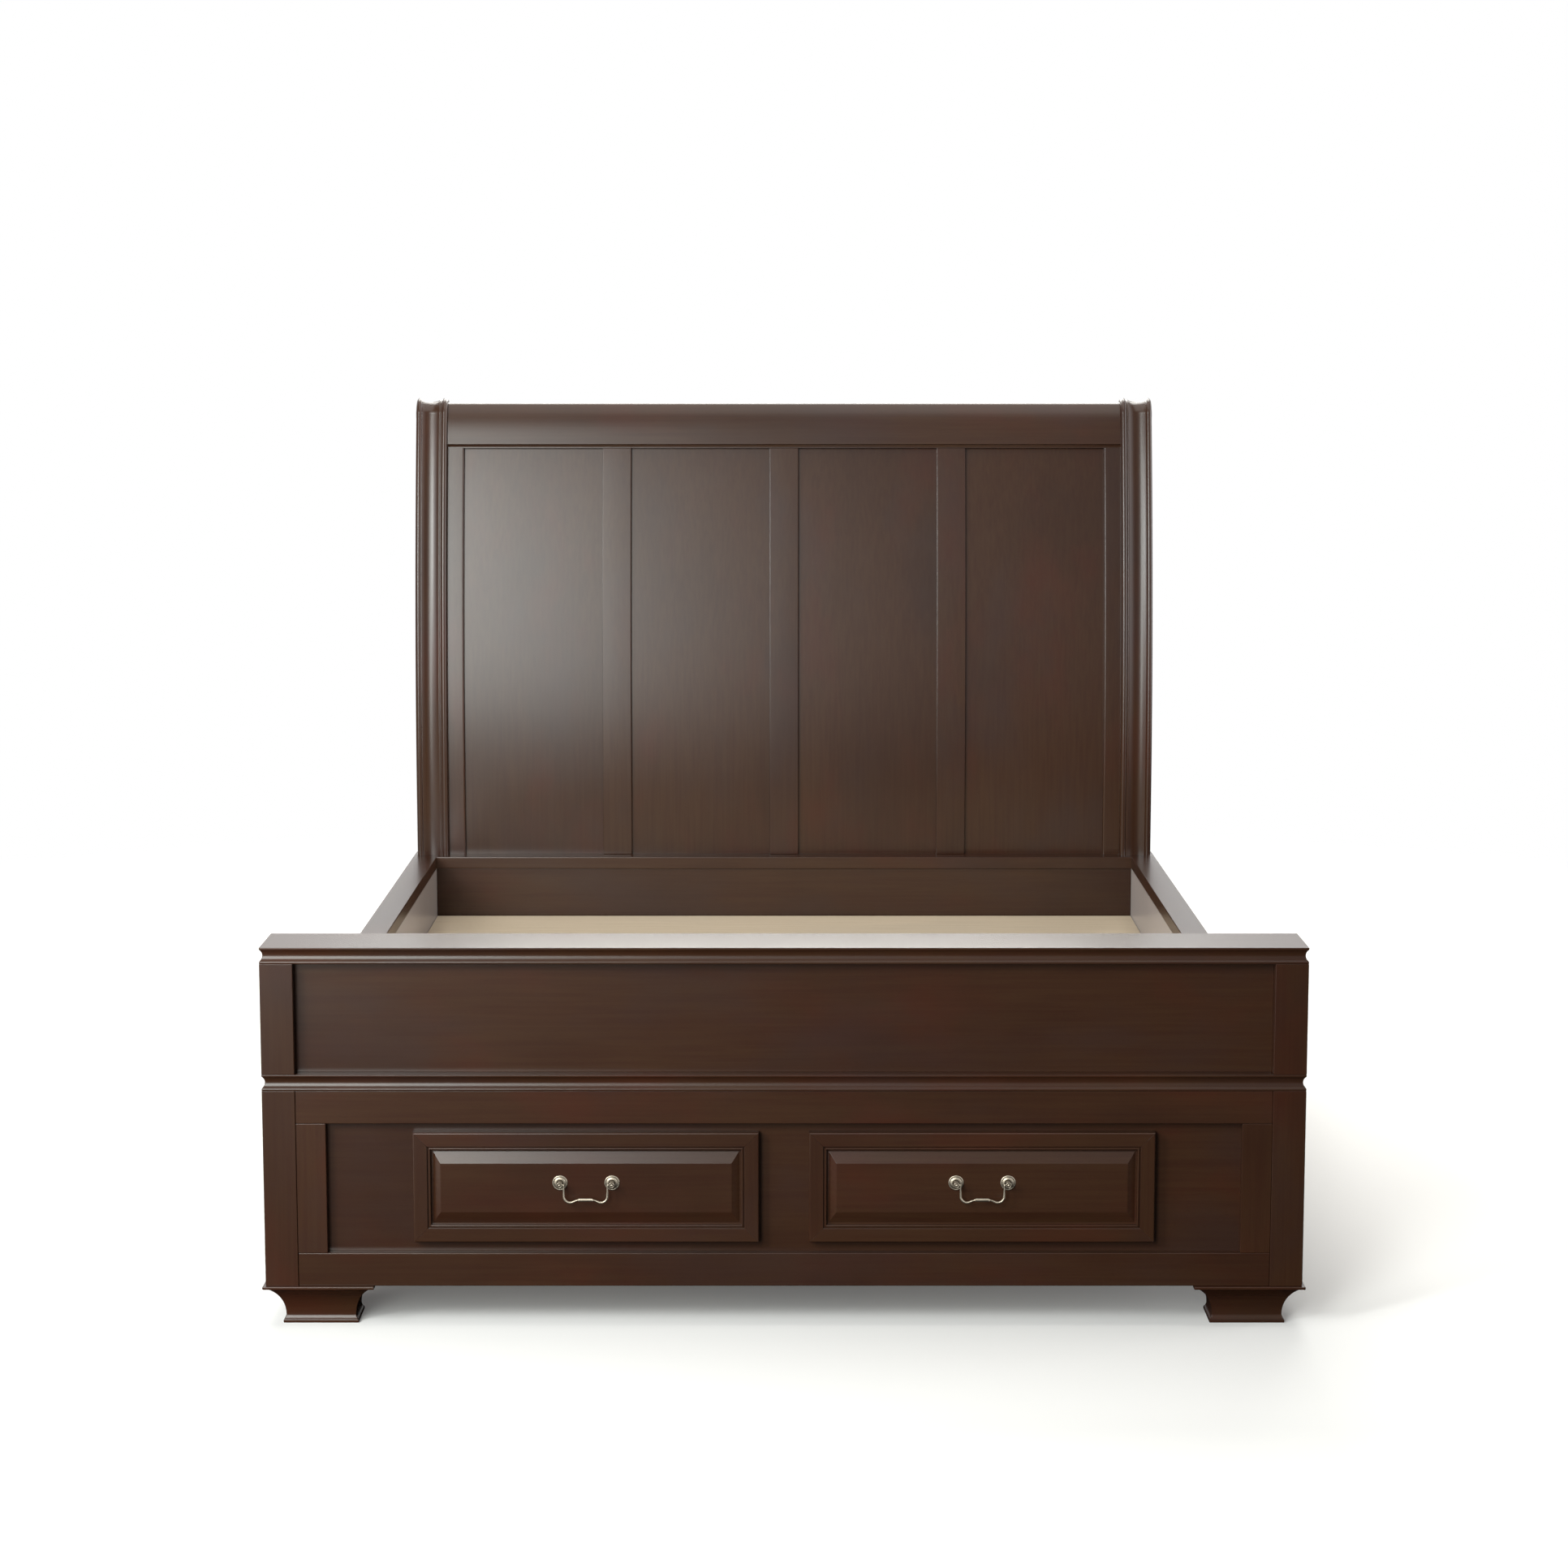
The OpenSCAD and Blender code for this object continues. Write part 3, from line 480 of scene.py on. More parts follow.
class Graph:
    """Places shader nodes, linking an input that is given a socket and setting any other."""

    def __init__(self, tree: bpy.types.NodeTree) -> None:
        """Takes a node tree to build in."""
        self.tree = tree

    def feed(self, target: Socket, value: object) -> None:
        """Links an input or sets it.

        Args:
            target: The input.
            value: A socket to link, or the value, which for a colour has three parts.
        """
        if isinstance(value, Socket):
            self.tree.links.new(value, target)
        else:
            target.default_value = (*value, 1.0) if target.type == "RGBA" else value

    def add(self, kind: str, inputs: dict | None = None, **settings: object) -> Sockets:
        """Adds a node.

        Args:
            kind: The node's type, without the word ShaderNode.
            inputs: Values or sockets by input name or number.
            settings: The node's own settings.

        Returns:
            The node's outputs, by name or number.
        """
        node = self.tree.nodes.new("ShaderNode" + kind)
        for name, value in settings.items():
            setattr(node, name, value)
        for name, value in (inputs or {}).items():
            self.feed(node.inputs[name], value)
        return node.outputs

    def math(self, operation: str, *values: object) -> Socket:
        """Does a sum with one, two or three numbers and gives its result."""
        return self.add("Math", dict(enumerate(values)), operation=operation)[0]

    def parts(self, vector: Socket) -> Sockets:
        """Gives the X, Y and Z of a vector."""
        return self.add("SeparateXYZ", {0: vector})

    def vector(self, *parts: object) -> Socket:
        """Makes a vector of its X, Y and Z."""
        return self.add("CombineXYZ", dict(enumerate(parts)))[0]

    def shifted(self, place: Socket, amount: Socket) -> Socket:
        """Moves a place by the same amount along each axis."""
        return self.add("VectorMath", {0: place, 1: self.vector(amount, amount, amount)})[0]

    def stretched(self, place: Socket, factors: object) -> Socket:
        """Stretches a place by a factor along each axis."""
        return self.add("VectorMath", {0: place, 1: factors}, operation="MULTIPLY")[0]

    def ramp(self, value: object, low: float, high: float, a: float = 0, b: float = 1) -> Socket:
        """Maps a value smoothly from the range low to high to the range a to b."""
        inputs = {"Value": value, "From Min": low, "From Max": high, "To Min": a, "To Max": b}
        return self.add("MapRange", inputs, interpolation_type="SMOOTHSTEP")["Result"]

    def mix(self, factor: object, a: object, b: object) -> Socket:
        """Mixes two colours and gives the result."""
        return self.add("Mix", {"Factor": factor, 6: a, 7: b}, data_type="RGBA")[2]

    def layers(self, base: object, *coats: tuple[Socket, float, Colour]) -> Socket:
        """Lays colours over a base, each by a share of its mask.

        Args:
            base: The colour below.
            coats: For each colour its mask, the share of the mask, and the colour.

        Returns:
            The colour on top.
        """
        for mask, share, colour in coats:
            base = self.mix(self.math("MULTIPLY", mask, share), base, colour)
        return base

    def noise(self, place: Socket, scale: float, detail: float = 3, rough: float = 0.5) -> Socket:
        """Adds a noise texture and gives its value."""
        inputs = {"Vector": place, "Scale": scale, "Detail": detail, "Roughness": rough}
        return self.add("TexNoise", inputs)["Fac"]

    def bump(self, strength: float, distance: float, height: Socket) -> Socket:
        """Turns a height into a normal."""
        inputs = {"Strength": strength, "Distance": distance, "Height": height}
        return self.add("Bump", inputs)[0]


class Effect(Enum):
    """The node groups that several finishes share."""

    GRAIN = "wood_grain"
    CLOUDS = "stain_clouds"
    HANDLING = "handling_marks"

    def group(self) -> bpy.types.NodeTree:
        """Gives the node group, which is built on its first use."""
        return bpy.data.node_groups.get(self.value) or BUILDERS[self]()

    def place(self, graph: Graph, **inputs: object) -> Sockets:
        """Places the group in a material and gives its outputs."""
        return graph.add("Group", inputs, node_tree=self.group())

    def start(
        self, inputs: Sequence[str], outputs: Sequence[str]
    ) -> tuple[Graph, Sockets, Sockets]:
        """Starts the node group, whose first input is a place.

        Args:
            inputs: The names of the other inputs, which are all numbers.
            outputs: The names of the outputs, which are all numbers.

        Returns:
            The graph, the sockets of its inputs and those of its outputs.
        """
        tree = bpy.data.node_groups.new(self.value, "ShaderNodeTree")
        rows = [("Place", "INPUT", "Vector")] + [(name, "INPUT", "Float") for name in inputs]
        for name, way, kind in rows + [(name, "OUTPUT", "Float") for name in outputs]:
            tree.interface.new_socket(name=name, in_out=way, socket_type="NodeSocket" + kind)
        first, last = tree.nodes.new("NodeGroupInput"), tree.nodes.new("NodeGroupOutput")
        return Graph(tree), first.outputs, last.inputs


def build_grain() -> bpy.types.NodeTree:
    """Builds the grain group: streaks, pores and a broad figure along the X of its place.

    Returns:
        The group.
    """
    graph, start, end = Effect.GRAIN.start(("Run", "Across", "Seed"), ("Streak", "Pores", "Figure"))
    moved = graph.shifted(start["Place"], graph.math("MULTIPLY", start["Seed"], 3.17))
    lines = graph.stretched(moved, graph.vector(start["Run"], start["Across"], start["Across"]))
    graph.feed(end["Streak"], graph.noise(lines, scale=1.0, detail=6, rough=0.62))
    short = graph.noise(graph.stretched(lines, (22.0, 8.0, 8.0)), scale=1.0, detail=2)
    graph.feed(end["Pores"], graph.ramp(short, 0.60, 0.74))
    broad = graph.stretched(moved, (1.1, 9.0, 9.0))
    bend = graph.noise(broad, scale=1.0, detail=2, rough=0.4)
    rings = graph.math("SINE", graph.math("MULTIPLY", bend, 42.0))
    graph.feed(end["Figure"], graph.math("MULTIPLY_ADD", rings, 0.5, 0.5))
    return graph.tree


def build_clouds() -> bpy.types.NodeTree:
    """Builds the stain group: soft warm, cool and deep patches, a hand's breadth and more across.

    Returns:
        The group.
    """
    rows = (("Warm", 6.5, 0.48, 0.72), ("Cool", 5.0, 0.46, 0.72), ("Deep", 3.4, 0.42, 0.70))
    graph, start, end = Effect.CLOUDS.start(("Seed",), [row[0] for row in rows])
    for index, (name, scale, low, high) in enumerate(rows):
        offset = graph.math("MULTIPLY_ADD", start["Seed"], 1.7, 5.3 * index)
        soft = graph.stretched(graph.shifted(start["Place"], offset), (0.55, 1.0, 1.0))
        cloud = graph.noise(soft, scale, detail=4, rough=0.55)
        graph.feed(end[name], graph.ramp(cloud, low, high))
    return graph.tree


def build_marks() -> bpy.types.NodeTree:
    """Builds the handling group: faint rubbed patches and fine short scratches.

    Returns:
        The group.
    """
    graph, start, end = Effect.HANDLING.start(("Seed",), ("Rubbed", "Scratch"))
    moved = graph.shifted(start["Place"], graph.math("MULTIPLY", start["Seed"], 2.3))
    rubbed = graph.noise(moved, scale=14.0, detail=5, rough=0.6)
    graph.feed(end["Rubbed"], graph.ramp(rubbed, 0.42, 0.70))
    fine = graph.noise(graph.stretched(moved, (60.0, 900.0, 900.0)), scale=1.0, detail=1)
    graph.feed(end["Scratch"], graph.ramp(fine, 0.70, 0.80))
    return graph.tree


BUILDERS = {Effect.GRAIN: build_grain, Effect.CLOUDS: build_clouds, Effect.HANDLING: build_marks}


@dataclass(frozen=True)
class Finish:
    """A surface finish. Each kind builds its material once and keeps it under its name."""

    name: str
    slot: str = ""
    grain: Grain = Grain.ACROSS
    seed: float = 0.0

    def material(self) -> bpy.types.Material:
        """Gives the finish's material, which is built on its first use."""
        return bpy.data.materials.get(self.name) or self.build()

    def build(self) -> bpy.types.Material:
        """Builds the material, whose place runs along the grain.

        Returns:
            The material.
        """
        material = bpy.data.materials.new(self.name)
        material.use_nodes = True
        graph = Graph(material.node_tree)
        parts = graph.parts(graph.add("TexCoord")["Object"])
        place = graph.vector(*(parts[i] for i in self.grain.value))
        shader = material.node_tree.nodes["Principled BSDF"]
        for name, value in self.look(graph, place).items():
            graph.feed(shader.inputs[name], value)
        return material

    def look(self, graph: Graph, place: Socket) -> dict[str, object]:
        """Gives the values or sockets of the shader's inputs by name."""
        raise NotImplementedError

    def plank(self, number: int) -> "Finish":
        """Gives the same finish with the pattern of another board."""
        return replace(self, name=f"{self.name}_{number}", seed=self.seed + number)


@dataclass(frozen=True)
class CherryLacquer(Finish):
    """Dark cherry stain under a satin lacquer, with cloudy colour and a fine grain."""

    slot: str = "cherry_lacquer"
    wood: Colour = (0.037, 0.0132, 0.0062)
    pale: Colour = (0.047, 0.0210, 0.0088)
    red: Colour = (0.058, 0.0132, 0.0064)
    grey: Colour = (0.034, 0.0180, 0.0155)
    deep: Colour = (0.018, 0.0060, 0.0034)
    gloss: float = 0.262
    shine: float = 0.45
    haze: float = 0.0
    haze_rough: float = 0.3
    haze_tint: Colour = (1.0, 0.93, 0.92)

    def look(self, graph: Graph, place: Socket) -> dict[str, object]:
        """Stains the wood in layers and gives the lacquer its gloss.

        Args:
            graph: The material's graph.
            place: The place, with the grain along its X.

        Returns:
            The values or sockets of the shader's inputs by name.
        """
        grain = Effect.GRAIN.place(graph, Place=place, Run=5.0, Across=170.0, Seed=self.seed)
        clouds = Effect.CLOUDS.place(graph, Place=place, Seed=self.seed)
        marks = Effect.HANDLING.place(graph, Place=place, Seed=self.seed)
        streak = graph.ramp(grain["Streak"], 0.32, 0.68)
        base = graph.layers(
            self.wood,
            (streak, 0.55, self.pale),
            (grain["Figure"], 0.16, self.pale),
            (clouds["Warm"], 0.42, self.red),
            (clouds["Cool"], 0.50, self.grey),
            (clouds["Deep"], 0.35, self.deep),
            (grain["Pores"], 0.28, self.deep),
        )
        rough = graph.math("MULTIPLY_ADD", marks["Rubbed"], 0.006, self.gloss)
        rough = graph.math("ADD", rough, graph.math("MULTIPLY", streak, 0.003))
        relief = graph.math("SUBTRACT", graph.math("MULTIPLY", streak, 0.6), grain["Pores"])
        return {
            "Base Color": base,
            "Roughness": rough,
            "Normal": graph.bump(strength=0.02, distance=0.00008, height=relief),
            "Specular IOR Level": self.shine,
            "Sheen Weight": self.haze,
            "Sheen Roughness": self.haze_rough,
            "Sheen Tint": self.haze_tint,
        }


@dataclass(frozen=True)
class BarePine(Finish):
    """Planed pine with growth rings, no lacquer."""

    slot: str = "pale_wood"
    early: Colour = (0.62, 0.43, 0.24)
    late: Colour = (0.42, 0.25, 0.11)
    straw: Colour = (0.68, 0.50, 0.30)

    def look(self, graph: Graph, place: Socket) -> dict[str, object]:
        """Draws the growth rings and the streaks between them.

        Args:
            graph: The material's graph.
            place: The place, with the grain along its X.

        Returns:
            The values or sockets of the shader's inputs by name.
        """
        grain = Effect.GRAIN.place(graph, Place=place, Run=3.0, Across=90.0, Seed=self.seed)
        clouds = Effect.CLOUDS.place(graph, Place=place, Seed=self.seed)
        rings = graph.ramp(grain["Figure"], 0.35, 0.95)
        relief = graph.math("ADD", grain["Streak"], rings)
        base = graph.layers(
            self.early,
            (rings, 0.55, self.late),
            (graph.ramp(grain["Streak"], 0.3, 0.7), 0.35, self.straw),
            (clouds["Deep"], 0.25, self.late),
        )
        return {
            "Base Color": base,
            "Roughness": graph.ramp(grain["Streak"], 0.2, 0.8, 0.55, 0.68),
            "Normal": graph.bump(strength=0.2, distance=0.0003, height=relief),
        }


@dataclass(frozen=True)
class RawBoard(Finish):
    """Sanded board with a pale face and pressed layers along its edges."""

    slot: str = "raw_board"
    face: Colour = (0.70, 0.58, 0.43)
    fibre: Colour = (0.48, 0.37, 0.25)
    cloud: Colour = (0.50, 0.44, 0.36)
    layer: Colour = (0.34, 0.23, 0.13)
    layer_pitch: float = 0.005

    def look(self, graph: Graph, place: Socket) -> dict[str, object]:
        """Draws the sanded face, and the layers where the surface stands upright.

        Args:
            graph: The material's graph.
            place: The place, with the grain along its X.

        Returns:
            The values or sockets of the shader's inputs by name.
        """
        grain = Effect.GRAIN.place(graph, Place=place, Run=4.0, Across=120.0, Seed=self.seed)
        clouds = Effect.CLOUDS.place(graph, Place=place, Seed=self.seed)
        streak = graph.ramp(grain["Streak"], 0.3, 0.7)
        tilt = graph.math("ABSOLUTE", graph.parts(graph.add("NewGeometry")["Normal"])[2])
        height = graph.parts(graph.add("TexCoord")["Object"])[2]
        plies = graph.math("SINE", graph.math("MULTIPLY", height, 2 * math.pi / self.layer_pitch))
        edge = graph.math("LESS_THAN", tilt, 0.5)
        stripe = graph.math("MULTIPLY", graph.ramp(plies, -0.2, 0.2), edge)
        relief = graph.math("ADD", streak, stripe)
        base = graph.layers(
            self.face,
            (streak, 0.25, self.fibre),
            (clouds["Cool"], 0.18, self.cloud),
            (grain["Pores"], 0.25, self.layer),
            (stripe, 0.7, self.layer),
        )
        return {
            "Base Color": base,
            "Roughness": graph.ramp(streak, 0, 1, 0.62, 0.74),
            "Normal": graph.bump(strength=0.15, distance=0.0003, height=relief),
        }


@dataclass(frozen=True)
class PlatedSteel(Finish):
    """Zinc plated steel with a faint spangle and rubbed marks."""

    slot: str = "zinc_steel"
    bright: Colour = (0.66, 0.67, 0.69)
    dull: Colour = (0.46, 0.47, 0.49)
    spangle: float = 160.0

    def look(self, graph: Graph, place: Socket) -> dict[str, object]:
        """Draws the spangle and its scratches.

        Args:
            graph: The material's graph.
            place: The place, with the grain along its X.

        Returns:
            The values or sockets of the shader's inputs by name.
        """
        marks = Effect.HANDLING.place(graph, Place=place, Seed=self.seed)
        cells = graph.add("TexVoronoi", {"Vector": place, "Scale": self.spangle})["Color"]
        tint = graph.add("SeparateColor", {0: cells})[0]
        worn = graph.math("MULTIPLY", marks["Scratch"], 0.15)
        base = graph.layers(self.bright, (tint, 0.5, self.dull), (marks["Rubbed"], 0.4, self.dull))
        return {
            "Base Color": base,
            "Metallic": 1.0,
            "Roughness": graph.math("ADD", graph.ramp(tint, 0, 1, 0.30, 0.40), worn),
            "Normal": graph.bump(strength=0.1, distance=0.0001, height=marks["Scratch"]),
        }


@dataclass(frozen=True)
class OldNickel(Finish):
    """Warm antique nickel, bright where hands rub it and dark in its recesses."""

    slot: str = "old_nickel"
    bright: Colour = (0.44, 0.385, 0.31)
    dull: Colour = (0.27, 0.225, 0.17)
    dark: Colour = (0.06, 0.045, 0.03)
    blotches: float = 420.0
    pits: float = 900.0

    def look(self, graph: Graph, place: Socket) -> dict[str, object]:
        """Darkens the recesses, which the mesh's own attribute marks.

        Args:
            graph: The material's graph.
            place: The place, with the grain along its X.

        Returns:
            The values or sockets of the shader's inputs by name.
        """
        marks = Effect.HANDLING.place(graph, Place=place, Seed=self.seed)
        recess = graph.add("Attribute", attribute_name="recess")["Fac"]
        blotch = graph.ramp(graph.noise(place, self.blotches), 0.40, 0.68)
        rough = graph.ramp(blotch, 0, 1, 0.42, 0.52)
        scratch = graph.math("MULTIPLY", marks["Scratch"], 0.5)
        height = graph.math("ADD", graph.noise(place, self.pits, detail=2), scratch)
        base = graph.layers(self.bright, (blotch, 0.55, self.dull), (recess, 0.9, self.dark))
        return {
            "Base Color": base,
            "Metallic": 1.0,
            "Roughness": graph.math("ADD", rough, graph.math("MULTIPLY", recess, 0.25)),
            "Normal": graph.bump(strength=0.08, distance=0.0001, height=height),
        }


LACQUER_ACROSS = CherryLacquer("lacquer_across", grain=Grain.ACROSS, seed=1.0)
LACQUER_BACK = CherryLacquer("lacquer_back", grain=Grain.BACK, seed=2.0)
LACQUER_HAZY = CherryLacquer("lacquer_hazy", grain=Grain.BACK, seed=2.0, haze=0.65)
LACQUER_UPRIGHT = CherryLacquer("lacquer_upright", grain=Grain.UPRIGHT, seed=3.0)
PINE_ACROSS = BarePine("pine_across", grain=Grain.ACROSS, seed=4.0)
PINE_BACK = BarePine("pine_back", grain=Grain.BACK, seed=5.0)
PINE_UPRIGHT = BarePine("pine_upright", grain=Grain.UPRIGHT, seed=6.0)
BOARD = RawBoard("raw_board_face", grain=Grain.ACROSS, seed=7.0)
ZINC = PlatedSteel("zinc_plate", grain=Grain.BACK, seed=8.0)
NICKEL = OldNickel("old_nickel_pull", grain=Grain.ACROSS, seed=9.0)


# Studio ------------------------------------------------------------------------------------------


@dataclass(frozen=True)
class Softbox:
    """A rectangular lamp that shines at a point. Places are frame metres."""

    name: str
    place: Point
    target: Point
    width: float
    height: float
    glow: float
    tint: Colour = (1.0, 1.0, 1.0)

    def light(self) -> None:
        """Adds the lamp, whose power follows from its size and its glow."""
        data = bpy.data.lights.new(self.name, "AREA")
        data.shape = "RECTANGLE"
        data.size, data.size_y = self.width, self.height
        data.energy = self.glow * math.pi * self.width * self.height
        data.color = self.tint
        lamp = bpy.data.objects.new(self.name, data)
        bpy.context.scene.collection.objects.link(lamp)
        lamp.location = self.place
        way = Vector(self.target) - Vector(self.place)
        lamp.rotation_euler = way.to_track_quat("-Z", "Y").to_euler()


@dataclass
class Studio:
    """The camera, the pale floor and backdrop, and the soft lamps."""

    camera_back: float = 5119.6
    camera_height: float = 1574.0
    camera_pitch: float = 7.841
    focal: float = 4110.0
    image: float = 1932.0
    sensor: float = 36.0
    floor_size: float = 40.0
    floor_white_from: float = 2.4
    floor_white_to: float = 4.2
    floor_seen: Colour = (0.85, 0.84, 0.83)
    floor_light: Colour = (0.22, 0.21, 0.20)
    floor_dim: Colour = (0.02, 0.02, 0.02)
    # The floor as reflections see it: dim, and bright towards the left as painted light.
    floor_painted_light: Colour = (0.60, 0.58, 0.56)
    painted_light_from: float = 1.0
    painted_light_to: float = 1.6
    white: Colour = (1.0, 1.0, 1.0)
    fill: float = 0.08
    front: float = 0.32
    beside: float = 2.6
    lift: float = 0.09
    softboxes: tuple[Softbox, ...] = (
        Softbox("key", (-2.2, -6.6, 2.72), (-4.1, 0.0, 0.9), 2.5, 4.3, 11.7, (0.955, 1.0, 0.965)),
        Softbox("strip", (-2.65, -3.64, 2.45), (-0.78, 1, 1.1), 0.7, 1.5, 24.0, (0.955, 1, 0.975)),
        Softbox("side", (-3.0, -2.8, 2.0), (0.0, 0.2, 0.5), 2.2, 2.2, 4.0),
        Softbox("back", (0.0, 3.6, 4.4), (0.0, 0.0, 0.4), 5.0, 2.6, 6.2, (1.0, 1.0, 0.95)),
        Softbox("rim", (0.0, 4.8, 3.0), (0.0, -0.8, 0.6), 2.3, 1.4, 17.0, (1.0, 1.0, 0.95)),
        Softbox("over", (0.0, -0.4, 4.6), (0.0, 0.0, 0.4), 4.0, 4.0, 1.9, (1.0, 0.98, 0.93)),
        Softbox("edge", (5.2, 0.2, 1.8), (0.0, 0.8, 0.8), 2.0, 2.6, 3.0),
    )

    def build(self) -> None:
        """Sets up the whole studio."""
        bpy.context.scene.view_settings.view_transform = "Standard"
        self.add_camera()
        self.add_world()
        self.add_floor()
        for box in self.softboxes:
            box.light()
        log.info("studio: %d softboxes", len(self.softboxes))

    def add_camera(self) -> None:
        """Places the camera where the photograph was taken from."""
        data = bpy.data.cameras.new("photo_camera")
        data.sensor_width = self.sensor
        data.lens = self.focal / self.image * self.sensor
        camera = bpy.data.objects.new("photo_camera", data)
        bpy.context.scene.collection.objects.link(camera)
        camera.location = on_bed(0, -self.camera_back, self.camera_height)
        camera.rotation_euler = (math.radians(90 - self.camera_pitch), 0, 0)
        bpy.context.scene.camera = camera

    def add_world(self) -> None:
        """Makes the backdrop white for the camera, and dim where the studio has no lamp."""
        world = bpy.data.worlds.new("studio")
        bpy.context.scene.world = world
        world.use_nodes = True
        graph = Graph(world.node_tree)
        rays = graph.add("LightPath")
        way = graph.parts(graph.add("TexCoord")["Generated"])
        behind = graph.ramp(way[1], -0.15, 0.35, self.front, 1.0)
        behind = graph.math("MAXIMUM", behind, graph.ramp(way[0], 0.40, 0.80, 0.0, self.beside))
        grey = graph.add("CombineColor", {0: behind, 1: behind, 2: behind})[0]
        seen = graph.math("MAXIMUM", rays["Is Glossy Ray"], rays["Is Transmission Ray"])
        level = graph.mix(seen, (self.fill,) * 3, grey)
        level = graph.mix(rays["Is Camera Ray"], level, self.white)
        graph.feed(world.node_tree.nodes["Background"].inputs["Color"], level)

    def add_floor(self) -> None:
        """Lays a pale floor that keeps the bed's shadow and fades to the white of the backdrop.
        Reflections see it dim, with a painted pool of light towards its left.
        """
        put_down()
        bpy.ops.mesh.primitive_plane_add(size=self.floor_size)
        floor = bpy.context.object
        floor.name = "studio_floor"
        material = bpy.data.materials.new("studio_floor")
        material.use_nodes = True
        graph, nodes = Graph(material.node_tree), material.node_tree.nodes
        nodes.remove(nodes["Principled BSDF"])
        rays, place = graph.add("LightPath"), graph.add("TexCoord")["Object"]
        camera = rays["Is Camera Ray"]
        # Painted light: to reflections the floor turns from dim to bright towards its left,
        # standing in for light on the left-facing bevels.
        left = graph.ramp(graph.parts(place)[0], -self.painted_light_from, -self.painted_light_to)
        mirrored = graph.mix(left, self.floor_dim, self.floor_painted_light)
        pale = graph.mix(rays["Is Glossy Ray"], self.floor_light, mirrored)
        matt = graph.add("BsdfDiffuse", {"Color": graph.mix(camera, pale, self.floor_seen)})[0]
        glow = {"Color": self.white, "Strength": graph.math("MULTIPLY", camera, self.lift)}
        near = graph.add("AddShader", {0: matt, 1: graph.add("Emission", glow)[0]})[0]
        reach = graph.add("VectorMath", {0: place}, operation="LENGTH")["Value"]
        far = graph.ramp(reach, self.floor_white_from, self.floor_white_to)
        white = graph.add("Emission", {"Color": self.white})[0]
        far = graph.math("MULTIPLY", far, camera)
        surface = graph.add("MixShader", {0: far, 1: near, 2: white})[0]
        graph.feed(nodes["Material Output"].inputs["Surface"], surface)
        floor.data.materials.append(material)


# The bed -----------------------------------------------------------------------------------------


def arc(centre: Flat, radius: float, start: float, stop: float, steps: int) -> list[Flat]:
    """Gives points along an arc.

    Args:
        centre: The arc's centre.
        radius: Its radius.
        start: The first point's angle in degrees, from the first axis towards the second.
        stop: The last point's angle.
        steps: The number of steps between them.

    Returns:
        The points, one more than the steps.
    """
    turns = [math.radians(start + (stop - start) * i / steps) for i in range(steps + 1)]
    return [(centre[0] + radius * math.cos(t), centre[1] + radius * math.sin(t)) for t in turns]


@dataclass(frozen=True)
class Board:
    """A plain board that keeps its CAD shape and gets eased edges."""

    node: str
    finish: Finish
    ease: float = 1.0
    body: str = "frame"

    def build(self) -> None:
        """Makes the eased copy that stands for the node."""
        copy = Piece.copied(self.node, self.node + "_board")
        copy.ease(self.ease).dress(self.finish, self.node, body=self.body)


@dataclass(frozen=True)
class Hollow:
    """The concave hollow that runs along the edge of a moulded slab."""

    slab: float = 26.0
    height: float = 19.0
    depth: float = 4.7
    steps: int = 12

    def levels(self, low: float) -> list[Flat]:
        """Gives heights and depths for a slab.

        Args:
            low: The height of the slab's underside.

        Returns:
            Pairs of a height and the depth of the hollow there.
        """
        radius = ((self.height / 2) ** 2 + self.depth**2) / (2 * self.depth)
        half = math.degrees(math.asin(self.height / 2 / radius))
        middle = (self.depth - radius, low + self.slab / 2)
        return [(z, max(d, 0.0)) for d, z in arc(middle, radius, -half, half, self.steps)]


